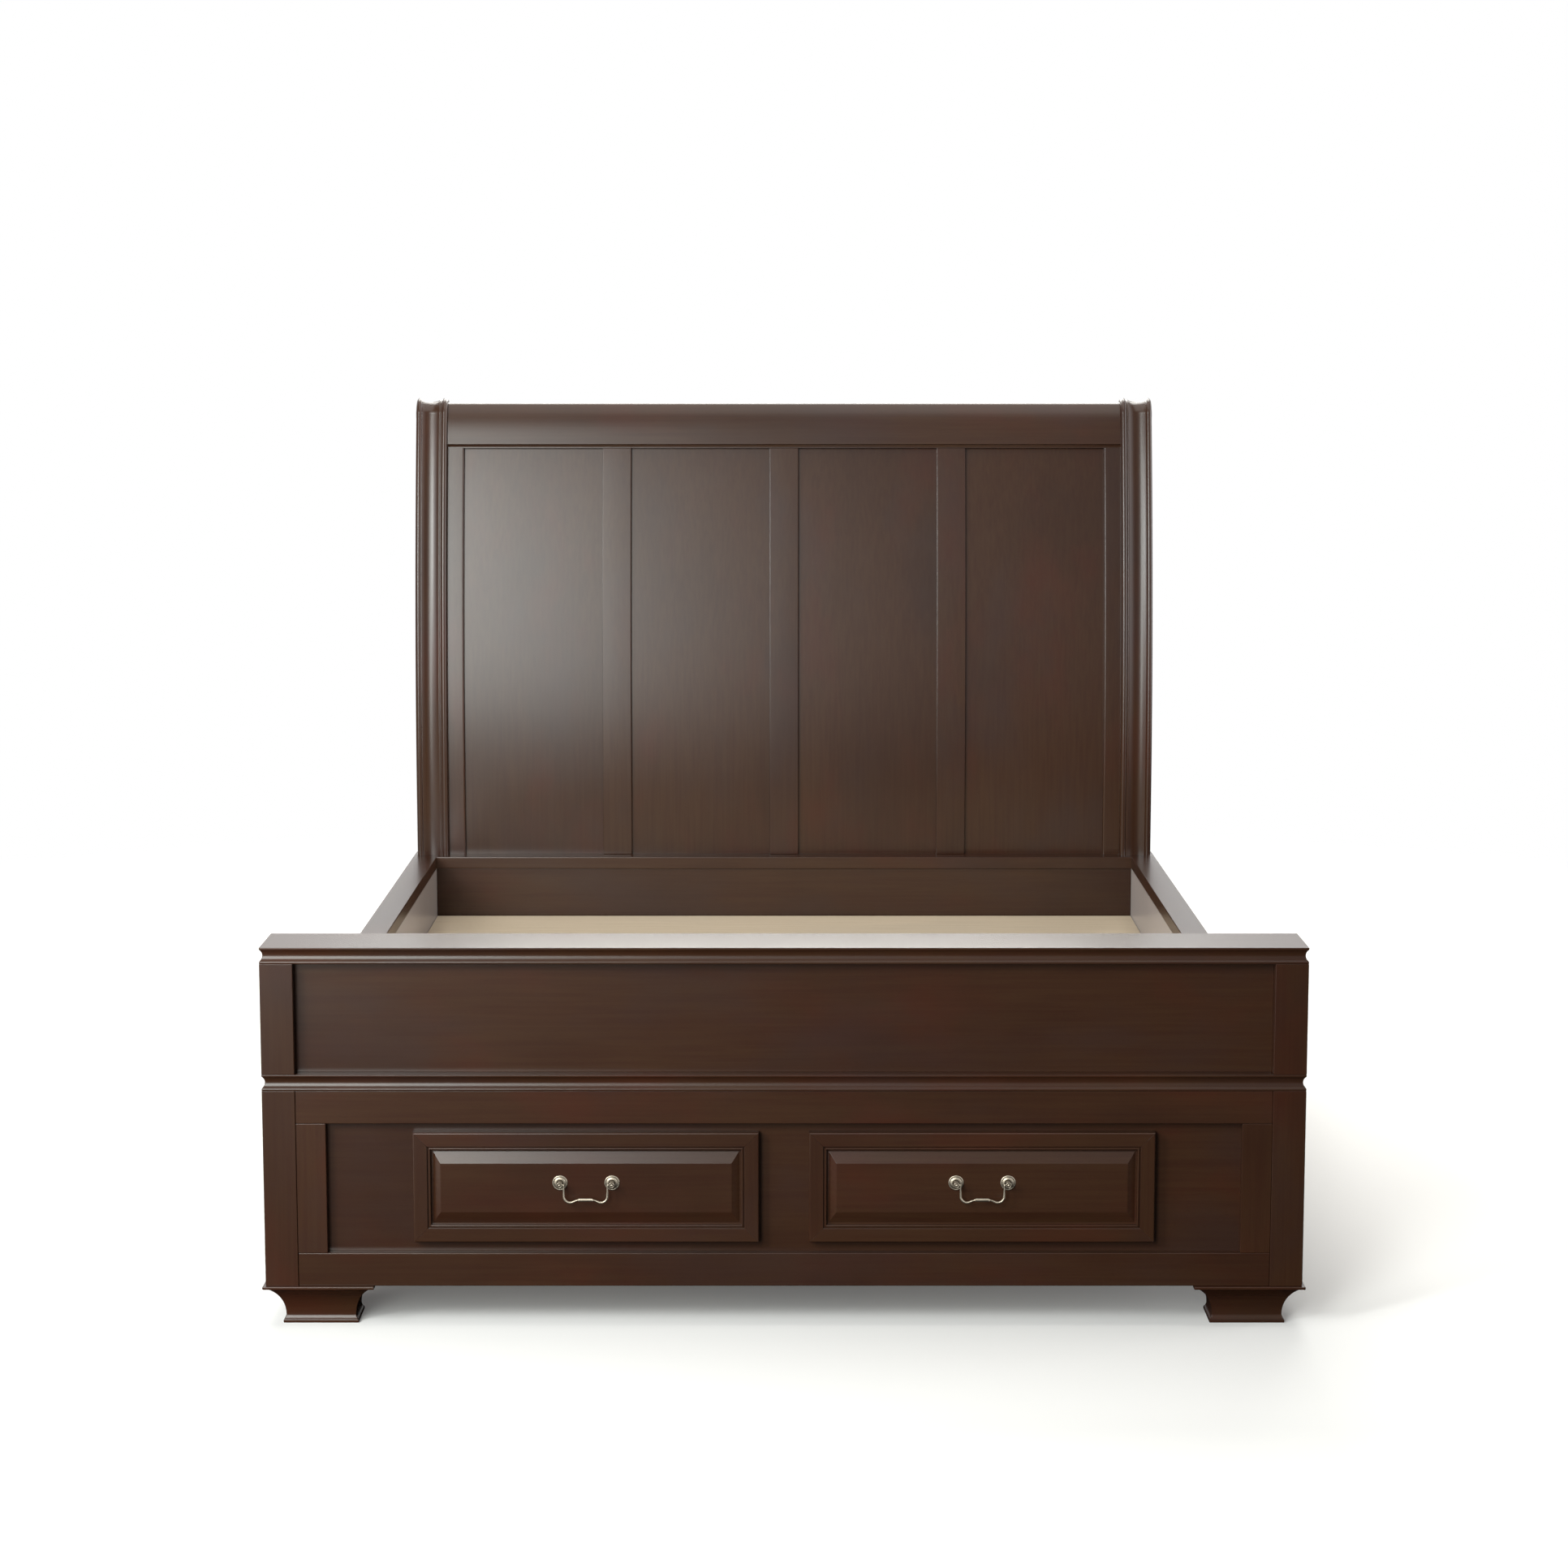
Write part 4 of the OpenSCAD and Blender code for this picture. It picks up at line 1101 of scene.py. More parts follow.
@dataclass
class Headboard:
    """The headboard: curved posts, rolled top rail, stiles, muntins, panels and the parts below.

    The rows of the button's ring are parts of its thickness and radius, and so are the start and
    the width of its dome. Its rim gives a part of the thickness, and its own radius.
    """

    half_width: float = 820.0
    ledge_front: float = 2160.0
    ledge_top: float = 408.5
    ledge_low: float = 382.5
    front: float = 2183.0
    back: float = 2240.0
    lean_from: float = 520.0
    lean_radius: float = 3600.0
    scroll_radius: float = 39.0
    scroll_proud: float = 0.1
    scroll_height: float = 1373.9
    post_inner: float = 743.5
    post_width: float = 69.0
    bead: float = 7.0
    small_bead: float = 1.8
    small_sunk: float = 0.8
    bead_gap: float = 0.6
    edge: float = 4.0
    cove: float = 4.5
    rail_set: float = 10.0
    roll_from: float = 46.0
    roll_turn: float = 52.0
    roll_soft: float = 30.0
    roll_firm: float = 12.0
    rail_drop: float = 109.0
    rail_hollow: float = 7.0
    rail_back_short: float = 0.45
    muntin_front: float = 18.0
    muntin_back: float = 50.0
    muntin_width: float = 63.0
    stile_inner: float = 707.0
    stile_bevel: float = 3.6
    panel_front: float = 28.3
    panel_back: float = 36.7
    panel_width: float = 321.65
    panel_pitch: float = 369.25
    panels: int = 4
    tongue: float = 0.1225
    top: float = 1413.0
    button: float = 19.0
    button_thick: float = 3.0
    button_rim: Flat = (0.3, 1.0)
    button_ring: tuple[Flat, ...] = ((0.62, 0.82), (0.36, 0.75), (0.36, 0.68))
    button_dome: Flat = (0.4, 0.64)

    @property
    def lean_to(self) -> float:
        """The angle of the lean at the scroll, in degrees."""
        rise = self.scroll_height - self.lean_from
        return math.degrees(math.asin(rise / (self.lean_radius - self.scroll_radius)))

    @property
    def rail_edge(self) -> float:
        """The angle of the lean at the top rail's lower edge, in degrees."""
        rise = self.top - self.rail_drop - self.lean_from
        return math.degrees(math.asin(rise / (self.lean_radius - self.muntin_front)))

    def curve(self, depth: float, angle: float) -> Flat:
        """Gives a point of the lean.

        Args:
            depth: The distance back from the posts' front, in millimetres.
            angle: The angle up the lean in degrees.

        Returns:
            The point's Y and Z.
        """
        turn, radius = math.radians(angle), self.lean_radius - depth
        y = self.front + self.lean_radius - radius * math.cos(turn)
        return y, self.lean_from + radius * math.sin(turn)

    def sheet(self, front: float, back: float, stop: float, steps: int = 24) -> list[Flat]:
        """Draws the side of a board that stands on the ledge and follows the lean.

        Args:
            front: The depth of its front behind the posts' front.
            back: The depth of its back.
            stop: The angle at which it ends.
            steps: The number of steps up the lean.

        Returns:
            The outline as pairs of Y and Z.
        """
        turns = [stop * i / steps for i in range(steps + 1)]
        up = [(self.front + front, self.ledge_top)] + [self.curve(front, t) for t in turns]
        down = [self.curve(back, t) for t in reversed(turns)]
        return up + down + [(self.front + back, self.ledge_top)]

    def slab(self, name: str, outline: Sequence[Flat], left: float, right: float) -> Piece:
        """Extrudes a side outline across the bed, from a left to a right end."""
        piece = Piece.outline(name, [(left, y, z) for y, z in outline])
        return piece.extrude(x=right - left).seal()

    def post_profile(self, width: float) -> list[Flat]:
        """Draws the front of a curved post: a bead, a small bead, a hollow and a bead.

        Args:
            width: The post's width.

        Returns:
            Pairs of the distance from its inner side and the depth behind its front.
        """
        bead, small = self.bead, self.small_bead
        clip = math.degrees(math.asin((bead - self.edge) / bead))
        small_at = (2 * bead + small, self.edge + small - self.small_sunk)
        small_clip = math.degrees(math.asin((small_at[1] - self.edge) / small))
        start, stop = 2 * bead + 2 * small + self.bead_gap, width - 2 * bead
        radius = ((stop - start) ** 2 / 4 + self.cove**2) / (2 * self.cove)
        half = math.degrees(math.asin((stop - start) / 2 / radius))
        middle = ((start + stop) / 2, self.edge + self.cove - radius)
        points = arc((bead, bead), bead, 180, 360 - clip, steps=14)
        points += arc(small_at, small, 180 + small_clip, 360 - small_clip, steps=6)
        points += arc(middle, radius, 90 + half, 90 - half, steps=18)
        return points + arc((width - bead, bead), bead, 180 + clip, 360, steps=14)

    def build_posts(self) -> None:
        """Sweeps the posts' profile up the lean and round the scroll."""
        deep, proud = self.back - self.front, self.scroll_proud
        ring = [*self.post_profile(self.post_width), (self.post_width, deep), (0, deep)]
        points = [(self.post_inner + x, self.front + d, self.ledge_top) for x, d in ring]
        post = Piece.outline("curved_post_right_turned", points)
        post.extrude(z=self.lean_from - self.ledge_top)
        centre = (0, self.front + self.lean_radius, self.lean_from)
        post.spin(centre, (1, 0, 0), steps=28, degrees=self.lean_to)
        y, z = self.curve(self.scroll_radius, self.lean_to)
        radius, width = self.scroll_radius + proud, self.post_width + 2 * proud
        chain = [(0, radius)] + self.post_profile(width) + [(width, radius)]
        points = [(self.post_inner - proud + x, y - radius + d, z) for x, d in chain]
        scroll = Piece.outline("scroll_right", points, closed=False)
        post.joined(scroll.spin((0, y, z), (1, 0, 0), steps=96))
        button = self.build_button(y, z)
        post.dress_pair(LACQUER_UPRIGHT, "curved_post", "turned", smooth=25)
        button.joined(button.mirrored("button_left")).dress(LACQUER_UPRIGHT, "scroll_buttons")

    def build_button(self, y: float, z: float) -> Piece:
        """Turns the button on the outer end of the right scroll.

        Args:
            y: The scroll's axis along Y.
            z: The scroll's axis along Z.

        Returns:
            The button.
        """
        r, t = self.button, self.button_thick
        left = self.post_inner + self.post_width + self.scroll_proud
        rim_at, rim = self.button_rim[0] * t, self.button_rim[1]
        rows = [(0, r), (rim_at, r), *arc((rim_at, r - rim), rim, 90, 20, steps=4)]
        rows += [(x * t, h * r) for x, h in self.button_ring]
        low, wide = self.button_dome
        for turn in (math.radians(a) for a in range(0, 91, 10)):
            rows.append((t * (low + (1 - low) * math.sin(turn)), wide * r * math.cos(turn)))
        points = [(left + x, y, z + h) for x, h in rows]
        button = Piece.outline("scroll_buttons_turned", points, closed=False)
        return button.spin((0, y, z), (1, 0, 0), steps=72)

    def roll_in(self, stop: float, end: Flat, turn: float, steps: int = 18) -> list[Flat]:
        """Draws the slow bend by which the top rail's face runs into its roll.

        Args:
            stop: The angle of the lean at which the bend starts.
            end: The roll's point at which it ends.
            turn: The angle of that point round the roll.
            steps: The number of steps along the bend.

        Returns:
            The points between the start and the end.
        """
        start, lean, way = self.curve(self.rail_set, stop), math.radians(stop), math.radians(turn)
        soft, firm = self.roll_soft, self.roll_firm
        near = (start[0] + soft * math.sin(lean), start[1] + soft * math.cos(lean))
        far = (end[0] - firm * math.sin(way), end[1] + firm * math.cos(way))
        points = []
        for t in (index / steps for index in range(1, steps)):
            parts = ((1 - t) ** 3, 3 * t * (1 - t) ** 2, 3 * t * t * (1 - t), t**3)
            pulls = list(zip(parts, (start, near, far, end)))
            points.append((sum(k * p[0] for k, p in pulls), sum(k * p[1] for k, p in pulls)))
        return points

    def build_rail(self) -> None:
        """Extrudes the rolled top rail with the hollow along its lower edge."""
        edge, lean = self.rail_edge, self.lean_to
        sin, cos = math.sin(math.radians(edge)), math.cos(math.radians(edge))
        y, z = self.curve(self.rail_set, edge)
        hollow = arc((0, 0), self.rail_hollow, 0, 90, steps=8)
        outline = [(y + a * cos + b * sin, z - a * sin + b * cos) for a, b in hollow]
        start = edge + math.degrees(self.rail_hollow / self.lean_radius)
        stop = lean - math.degrees(self.roll_from / self.lean_radius)
        outline += [self.curve(self.rail_set, start + (stop - start) * i / 3) for i in range(1, 4)]
        centre = self.curve(self.scroll_radius, lean)
        radius = self.scroll_radius + self.scroll_proud - self.rail_set
        over = math.degrees(math.acos((self.muntin_back - self.scroll_radius) / radius))
        turn = 180 - lean - self.roll_turn
        roll = arc(centre, radius, turn, -lean - over, steps=48)
        outline += self.roll_in(stop, roll[0], turn) + roll
        high = lean - self.rail_back_short
        outline += [self.curve(self.muntin_back, high - (high - edge) * i / 4) for i in range(5)]
        half = self.post_inner - self.scroll_proud
        rail = self.slab("headboard_top_rail_rolled", outline, -half, half)
        rail.dress(LACQUER_ACROSS.plank(1), "headboard_top_rail", smooth=25)

    def build_frame(self) -> None:
        """Makes the stiles, the muntins and the panels between them."""
        side = self.sheet(self.muntin_front, self.muntin_back, self.rail_edge)
        half = self.muntin_width / 2
        for index, word in enumerate(("left", "middle", "right")):
            x = (index - 1) * self.panel_pitch
            muntin = self.slab(f"muntin_{word}_bent", side, x - half, x + half)
            muntin.ease(1.4).dress(LACQUER_UPRIGHT.plank(1), f"muntin_{word}")
        stile = self.slab("headboard_stile_right_bent", side, self.stile_inner, self.post_inner)
        stile.pick(Pick.EDGES, self.is_stile_corner)
        bpy.ops.mesh.bevel(offset=self.stile_bevel * MM, segments=3)
        stile.dress_pair(LACQUER_UPRIGHT, "headboard_stile", "bent")
        sheet = self.sheet(self.panel_front, self.panel_back, self.rail_edge + self.tongue)
        half = self.panel_width / 2
        for number in range(1, self.panels + 1):
            x = (number - (self.panels + 1) / 2) * self.panel_pitch
            panel = self.slab(f"headboard_panel_{number}_bent", sheet, x - half, x + half)
            name = f"lacquer_panel_{number}"
            finish = CherryLacquer(name, grain=Grain.UPRIGHT, seed=10.0 + number)
            panel.dress(finish, f"headboard_panel_{number}")

    def is_stile_corner(self, at: Vector, way: Vector) -> bool:
        """Tells whether an edge of the right stile is its front edge beside the panel.

        Args:
            at: The middle of the edge in bed millimetres.
            way: Its direction.

        Returns:
            Whether it is.
        """
        rise = max(at.z - self.lean_from, 0.0)
        front = self.front + self.lean_radius - math.sqrt(self.lean_radius**2 - rise**2)
        inner = abs(at.x - self.stile_inner) < SAME and abs(way.x) < 0.1
        return inner and at.y < front + self.muntin_front + 4 and at.z > self.ledge_top + 1

    def build_base(self) -> None:
        """Makes the moulded ledge, the legs and the board below it."""
        half = self.half_width
        low, high = (-half, self.ledge_front, self.ledge_low), (half, self.back, self.ledge_top)
        ledge = Piece.block("headboard_ledge_moulded", low, high)
        ledge.hollow(Hollow().levels(self.ledge_low), ((1, 0, half), (-1, 0, half)))
        ledge.ease(1.2).dress(LACQUER_ACROSS, "headboard_ledge")
        Board("headboard_lower_board", LACQUER_ACROSS.plank(2), ease=1.4).build()
        for side in Side:
            Board(f"headboard_leg_{side.word}", LACQUER_UPRIGHT).build()

    def build(self) -> None:
        """Builds the whole headboard."""
        self.build_posts()
        self.build_rail()
        self.build_frame()
        self.build_base()


@dataclass
class Footboard:
    """The footboard: posts, cap, mouldings, panels, the lower frame and the feet."""

    half_width: float = 820.0
    well: float = 768.0
    depth: float = 126.0
    top: float = 611.0
    cap_low: float = 585.0
    rail_top: float = 408.5
    rail_low: float = 382.5
    let_in: float = 8.0
    moulding_back: float = 33.0
    foot_height: float = 66.7
    foot_length: float = 176.5
    foot_lip: float = 5.0
    foot_lip_thick: float = 4.7
    foot_radius: float = 58.0
    foot_waist_at: float = 13.0
    foot_waist_in: float = 32.7
    foot_flare: tuple[Flat, ...] = ((5.0, 29.0), (7.0, 30.7), (9.0, 31.8), (11.0, 32.5))
    foot_base: float = 5.0
    foot_base_in: float = 28.5

    def build_cap(self) -> None:
        """Makes the cap with its hollow along the front and the ends."""
        half = self.half_width
        low, high = (-half, 0, self.cap_low), (half, self.depth, self.top)
        cap = Piece.block("footboard_cap_moulded", low, high)
        cap.hollow(Hollow().levels(self.cap_low), ((0, -1, 0), (1, 0, half), (-1, 0, half)))
        cap.ease(1.1, segments=3).dress(LACQUER_ACROSS.plank(3), "footboard_cap")

    def build_moulding(self) -> None:
        """Makes the middle moulding, which returns along the outer sides of the posts."""
        half, let_in = self.half_width, self.let_in
        low, high = (-half, 0, self.rail_low), (half, let_in, self.rail_top)
        bar = Piece.block("middle_moulding_run", low, high)
        for x in (-half + let_in, -self.well, self.well, half - let_in):
            bar.cut((x, 0, 0), (1, 0, 0))
        bar.pick(Pick.FACES, lambda at, way: way.y > FACING and abs(at.x) < self.well)
        bar.extrude(y=self.moulding_back - let_in)
        bar.pick(Pick.FACES, lambda at, way: way.y > FACING and abs(at.x) > half - let_in)
        bar.extrude(y=self.depth - let_in)
        bar.hollow(Hollow().levels(self.rail_low), ((0, -1, 0), (1, 0, half), (-1, 0, half)))
        bar.ease(1.1, segments=3).dress(LACQUER_ACROSS, "middle_moulding")

    def build_feet(self) -> None:
        """Makes the feet: a lip and a base with a hollowed block between them."""
        lip, radius, waist_at = self.foot_lip, self.foot_radius, self.foot_waist_at
        right, back = self.half_width + lip, self.depth + lip
        left, inset = right - self.foot_length, self.foot_base_in
        low, high = self.foot_base, self.foot_height - self.foot_lip_thick
        out = radius - self.foot_waist_in
        heights = [waist_at + (high - waist_at) * i / 18 for i in range(19)]
        levels = [(z, math.sqrt(radius**2 - (z - waist_at) ** 2) - out) for z in heights]
        near, far = (left, -lip, low - 1), (right, back, high + 1)
        waist = Piece.block("front_foot_right_shaped", near, far)
        sides = ((0, -1, lip), (0, 1, back), (1, 0, right), (-1, 0, -left))
        waist.hollow([*self.foot_flare, *levels], sides)
        waist.cut((0, 0, high), (0, 0, 1), saw=True).cut((0, 0, low), (0, 0, -1), saw=True).seal()
        top = Piece.block("foot_lip", (left, -lip, high), (right, back, self.foot_height))
        near, far = (left + inset, inset - lip, 0), (right - inset, back - inset, low)
        base = Piece.block("foot_base", near, far)
        waist.ease(0.8, angle=50).joined(top.ease(1.3, segments=3), base.ease(1.0))
        waist.dress_pair(LACQUER_ACROSS, "front_foot", "shaped")

    def build(self) -> None:
        """Builds the whole footboard."""
        self.build_cap()
        self.build_moulding()
        self.build_feet()
        for side in Side:
            Board(f"footboard_post_{side.word}", LACQUER_UPRIGHT.plank(2)).build()
            Board(f"frame_stile_{side.word}", LACQUER_UPRIGHT).build()
        boards = (("frame_head", 4, 1.3), ("frame_sill", 5, 1.3))
        panels = ("footboard_upper_panel", "footboard_back_panel", "drawer_surround_panel")
        for node, number, ease in (*boards, *((n, 6 + i, 0.5) for i, n in enumerate(panels))):
            Board(node, LACQUER_ACROSS.plank(number), ease=ease).build()


@dataclass(frozen=True)
class Screws:
    """Pan-head screws with a crossed recess. One is modelled, and the others are its copies.

    The profile's rows are parts of the head's thickness and radius. The recess gives the height
    of its floor as a part of the thickness, and its half length and half width as parts of the
    radius.
    """

    radius: float
    thick: float
    profile: tuple[Flat, ...] = ((0, 0.96), (0.25, 1), (0.55, 0.94), (0.82, 0.74), (1, 0.4), (1, 0))
    recess: Point = (0.35, 0.62, 0.12)

    def head(self) -> Piece:
        """Turns a head that points along +X from the bed's origin and carves its recess.

        Returns:
            The head.
        """
        points = [(x * self.thick, 0, h * self.radius) for x, h in self.profile]
        head = Piece.outline("screw_head", points, closed=False)
        head.spin((0, 0, 0), (1, 0, 0), steps=20)
        floor = self.recess[0] * self.thick
        long, wide = (part * self.radius for part in self.recess[1:])
        for y, z in ((wide, long), (long, wide)):
            head.carve(Piece.block("recess", (floor, -y, -z), (2 * self.thick, y, z)))
        return head

    def build(self, name: str, places: Sequence[tuple[Point, int]], body: str, *nodes: str) -> None:
        """Copies the head to its places and joins the copies.

        Args:
            name: The piece's name.
            places: For each screw, the middle of its seat and the way it faces along X.
            body: The body that carries the screws.
            nodes: The CAD nodes that they stand for.
        """
        head = self.head()
        copies = []
        for place, way in places:
            copy = head.twin()
            copy.all()
            if way < 0:
                copy.flip(on_bed(0, 0, 0))
            copy.move(*place)
            put_down()
            copies.append(copy)
        bpy.data.objects.remove(head.obj)
        copies[0].joined(*copies[1:]).called(name).dress(ZINC, *nodes, body=body)


@dataclass
class SideRails:
    """The two side rails with their caps, cleats, screws and hooks."""

    inner: float = 768.0
    outer: float = 820.0
    front: float = 126.0
    back: float = 2160.0
    low: float = 382.5
    top: float = 408.5
    board: float = 2166.0
    screw_in: float = 60.0
    screw_x: float = 740.0
    screw_z: float = 228.0
    screws: int = 7

    def build(self) -> None:
        """Builds both rails."""
        low, high = (self.inner, self.front, self.low), (self.outer, self.back, self.top)
        cap = Piece.block("rail_caps_moulded", low, high)
        cap.hollow(Hollow().levels(self.low), ((1, 0, self.outer),))
        cap.ease(1.2).joined(cap.mirrored("rail_cap_left")).dress(LACQUER_BACK, "rail_caps")
        for side in Side:
            Board(f"side_rail_{side.word}", LACQUER_HAZY).build()
        Board("rail_cleats", PINE_BACK, ease=1.5).build()
        first, last = self.front + self.screw_in, self.board - self.screw_in
        rows = [first + (last - first) / (self.screws - 1) * i for i in range(self.screws)]
        seats = [((s.value * self.screw_x, y, self.screw_z), -s.value) for s in Side for y in rows]
        Screws(radius=4.0, thick=2.0).build("cleat_screws_driven", seats, "frame", "cleat_screws")
        for node in ("rail_hook_plates", "post_slot_plates"):
            Board(node, ZINC, ease=0.3).build()


@dataclass
class Platform:
    """The deck and what carries it."""

    deck: float = 0.6
    bars: float = 2.0
    bay: float = 0.8

    def build(self) -> None:
        """Builds the deck boards, the slats, the beam and its legs, and the drawer bay."""
        for board in (
            Board("deck_boards", BOARD, self.deck),
            Board("cross_slats", PINE_ACROSS, self.bars),
            Board("middle_beam", PINE_BACK, self.bars),
            Board("beam_legs", PINE_UPRIGHT, self.bars),
            Board("drawer_bay_panels", PINE_BACK, self.bay),
            Board("bay_rear_rail", PINE_ACROSS),
        ):
            board.build()


@dataclass
class Drawer:
    """One footboard drawer: its mitred front, its raised field, its box and its slides."""

    side: Side
    middle: float = 312.0
    width: float = 545.0
    height: float = 177.0
    low: float = 138.0
    front: float = 0.6
    back: float = 17.6
    band: float = 24.5
    rebate: float = 4.0
    rebate_gap: float = 0.1
    mitre_gap: float = 0.08
    band_round: float = 2.4
    groove_at: float = 22.4
    groove_to: float = 24.4
    groove_deep: float = 3.0
    groove_ease: float = 0.4
    bead_to: float = 27.8
    bead_down: float = 0.9
    quirk: float = 8.0
    raised_at: float = 31.2
    raised_edge: float = 8.2
    ground: float = 8.7
    field: float = 1.6
    bevel_side: float = 12.0
    bevel_top: float = 18.5
    bevel_bottom: float = 17.5
    box_half: float = 235.0
    box_wall: float = 12.0
    slide_at: float = 248.0
    slide_inner: float = 11.8
    slide_middle: float = 2.75
    slide_z: float = 192.0
    screw_rows: tuple[float, ...] = (64.0, 190.0, 330.0, 456.0)
    rivet_rows: tuple[float, ...] = (46.0, 472.0)
    rivet_rise: float = 9.0

    @property
    def body(self) -> str:
        """The name of the drawer's body."""
        return f"{self.side.word}_drawer"

    @property
    def x(self) -> float:
        """The drawer's middle along X."""
        return self.side.value * self.middle

    def band_profile(self) -> list[Flat]:
        """Draws the section of the mitred frame: eased edge, flat, groove and bead.

        Returns:
            Pairs of the distance in from the outer edge and the depth behind the front.
        """
        thick, radius = self.back - self.front, (self.bead_to - self.groove_to) / 2
        edge, groove, deep = self.band_round, self.groove_at, self.groove_deep
        inner, quirk = self.band - self.rebate, self.quirk - 0.1
        points = [(0.0, thick)] + arc((edge, edge), edge, 180, 270, steps=5)
        points += [(groove - self.groove_ease, 0.0), (groove, self.groove_ease)]
        points += [(groove, deep), (self.groove_to, deep)]
        bead = (self.groove_to + radius, self.bead_down + radius)
        points += arc(bead, radius, 180, 360, steps=10)
        return points + [(self.bead_to, quirk), (inner, quirk), (inner, thick)]

    def build_band(self) -> None:
        """Runs the section along the four sides and saws their mitres."""
        half, tall = self.width / 2, self.height / 2
        boards = []
        for index in range(4):
            flat, sign = index < 2, ENDS[index % 2]
            run, across = (half, tall) if flat else (tall, half)
            profile = [(sign * (across - u), self.front + d) for u, d in self.band_profile()]
            points = [self.on_front(flat, -run, over, depth) for over, depth in profile]
            board = Piece.outline(f"band_{index}", points)
            board.extrude(*((2 * run, 0, 0) if flat else (0, 0, 2 * run))).seal()
            for end in ENDS:
                corner = self.on_front(flat, end * (run - self.mitre_gap), sign * across, 0)
                board.cut(corner, (end, 0, -sign) if flat else (-sign, 0, end), saw=True)
            boards.append(board.seal().ease(0.35, segments=1, angle=60))
        node = f"drawer_frame_{self.side.word}"
        rails, stiles = boards[0].joined(boards[1]), boards[2].joined(boards[3])
        rails.called(f"{node}_rails").dress(LACQUER_ACROSS, node, body=self.body)
        stiles.called(f"{node}_stiles").dress(LACQUER_UPRIGHT, node, body=self.body)

    def on_front(self, flat: bool, along: float, over: float, depth: float) -> Point:
        """Gives a place on the drawer's front for one of its four boards.

        Args:
            flat: Whether the board runs along X. Otherwise it runs along Z.
            along: The distance from the front's middle along the board.
            over: The distance from the front's middle across the board.
            depth: The place along Y.

        Returns:
            The place in bed millimetres.
        """
        x, z = (along, over) if flat else (over, along)
        return self.x + x, depth, self.low + self.height / 2 + z

    def build_field(self) -> None:
        """Raises the panel in one block: an inset, a step and a bevel on each side."""
        node, edge = f"drawer_field_{self.side.word}", self.band - self.rebate + self.rebate_gap
        half, high = self.width / 2 - edge, self.low + self.height
        low_corner = (self.x - half, self.ground, self.low + edge)
        field = Piece.block(f"{node}_raised", low_corner, (self.x + half, self.back, high - edge))
        field.pick(Pick.FACES, lambda at, way: way.y < -FACING)
        bpy.ops.mesh.inset(thickness=(self.raised_at - edge) * MM, depth=0)
        field.extrude(y=self.raised_edge - self.ground).extrude(y=self.field - self.raised_edge)
        near, middle = self.field + SAME, (self.low + high) / 2
        for sign in ENDS:
            field.pick(Pick.VERTS, lambda at, _: at.y < near and (at.x - self.x) * sign > 0)
            field.move(x=-sign * self.bevel_side)
        for sign, width in ((-1, self.bevel_bottom), (1, self.bevel_top)):
            field.pick(Pick.VERTS, lambda at, _: at.y < near and (at.z - middle) * sign > 0)
            field.move(z=-sign * width)
        finish = CherryLacquer(f"lacquer_field_{self.side.word}", seed=21.0 + self.side.value)
        field.ease(0.6, angle=12).dress(finish, node, body=self.body, smooth=18)

    def build_box(self) -> None:
        """Makes the four boards of the box, each with the grain along it."""
        node, inner = f"drawer_box_{self.side.word}", self.box_half - self.box_wall - SAME
        for name, finish, wanted in (("sides", PINE_BACK, False), ("ends", PINE_ACROSS, True)):
            boards = Piece.copied(node, f"{node}_{name}")
            boards.keep(lambda at, _: (abs(at.x - self.x) < inner) == wanted)
            boards.ease(0.9).dress(finish, node, body=self.body)

    def build_slides(self) -> None:
        """Makes the moving members of the slides, with the screws that hold them."""
        word, carried = self.side.word, f"{self.side.word}_slide_member"
        Board(f"slide_inner_members_{word}", ZINC, ease=0.25, body=self.body).build()
        Board(f"slide_middle_{word}", ZINC, ease=0.25, body=carried).build()
        web, z = self.slide_at - self.slide_inner, self.slide_z
        seats = [((self.x + t * web, y, z), t) for t in ENDS for y in self.screw_rows]
        Screws(radius=3.6, thick=1.6).build(f"slide_screws_{word}", seats, self.body)
        web = self.slide_at - self.slide_middle
        spots = [(y, z + t * self.rivet_rise) for y in self.rivet_rows for t in ENDS]
        seats = [((self.x + t * web, y, h), -t) for t in ENDS for y, h in spots]
        Screws(radius=2.6, thick=1.0).build(f"slide_rivets_{word}", seats, carried)

    def build(self) -> None:
        """Builds the drawer."""
        self.build_band()
        self.build_field()
        self.build_box()
        Board(f"drawer_bottom_{self.side.word}", BOARD, ease=0.4, body=self.body).build()
        self.build_slides()


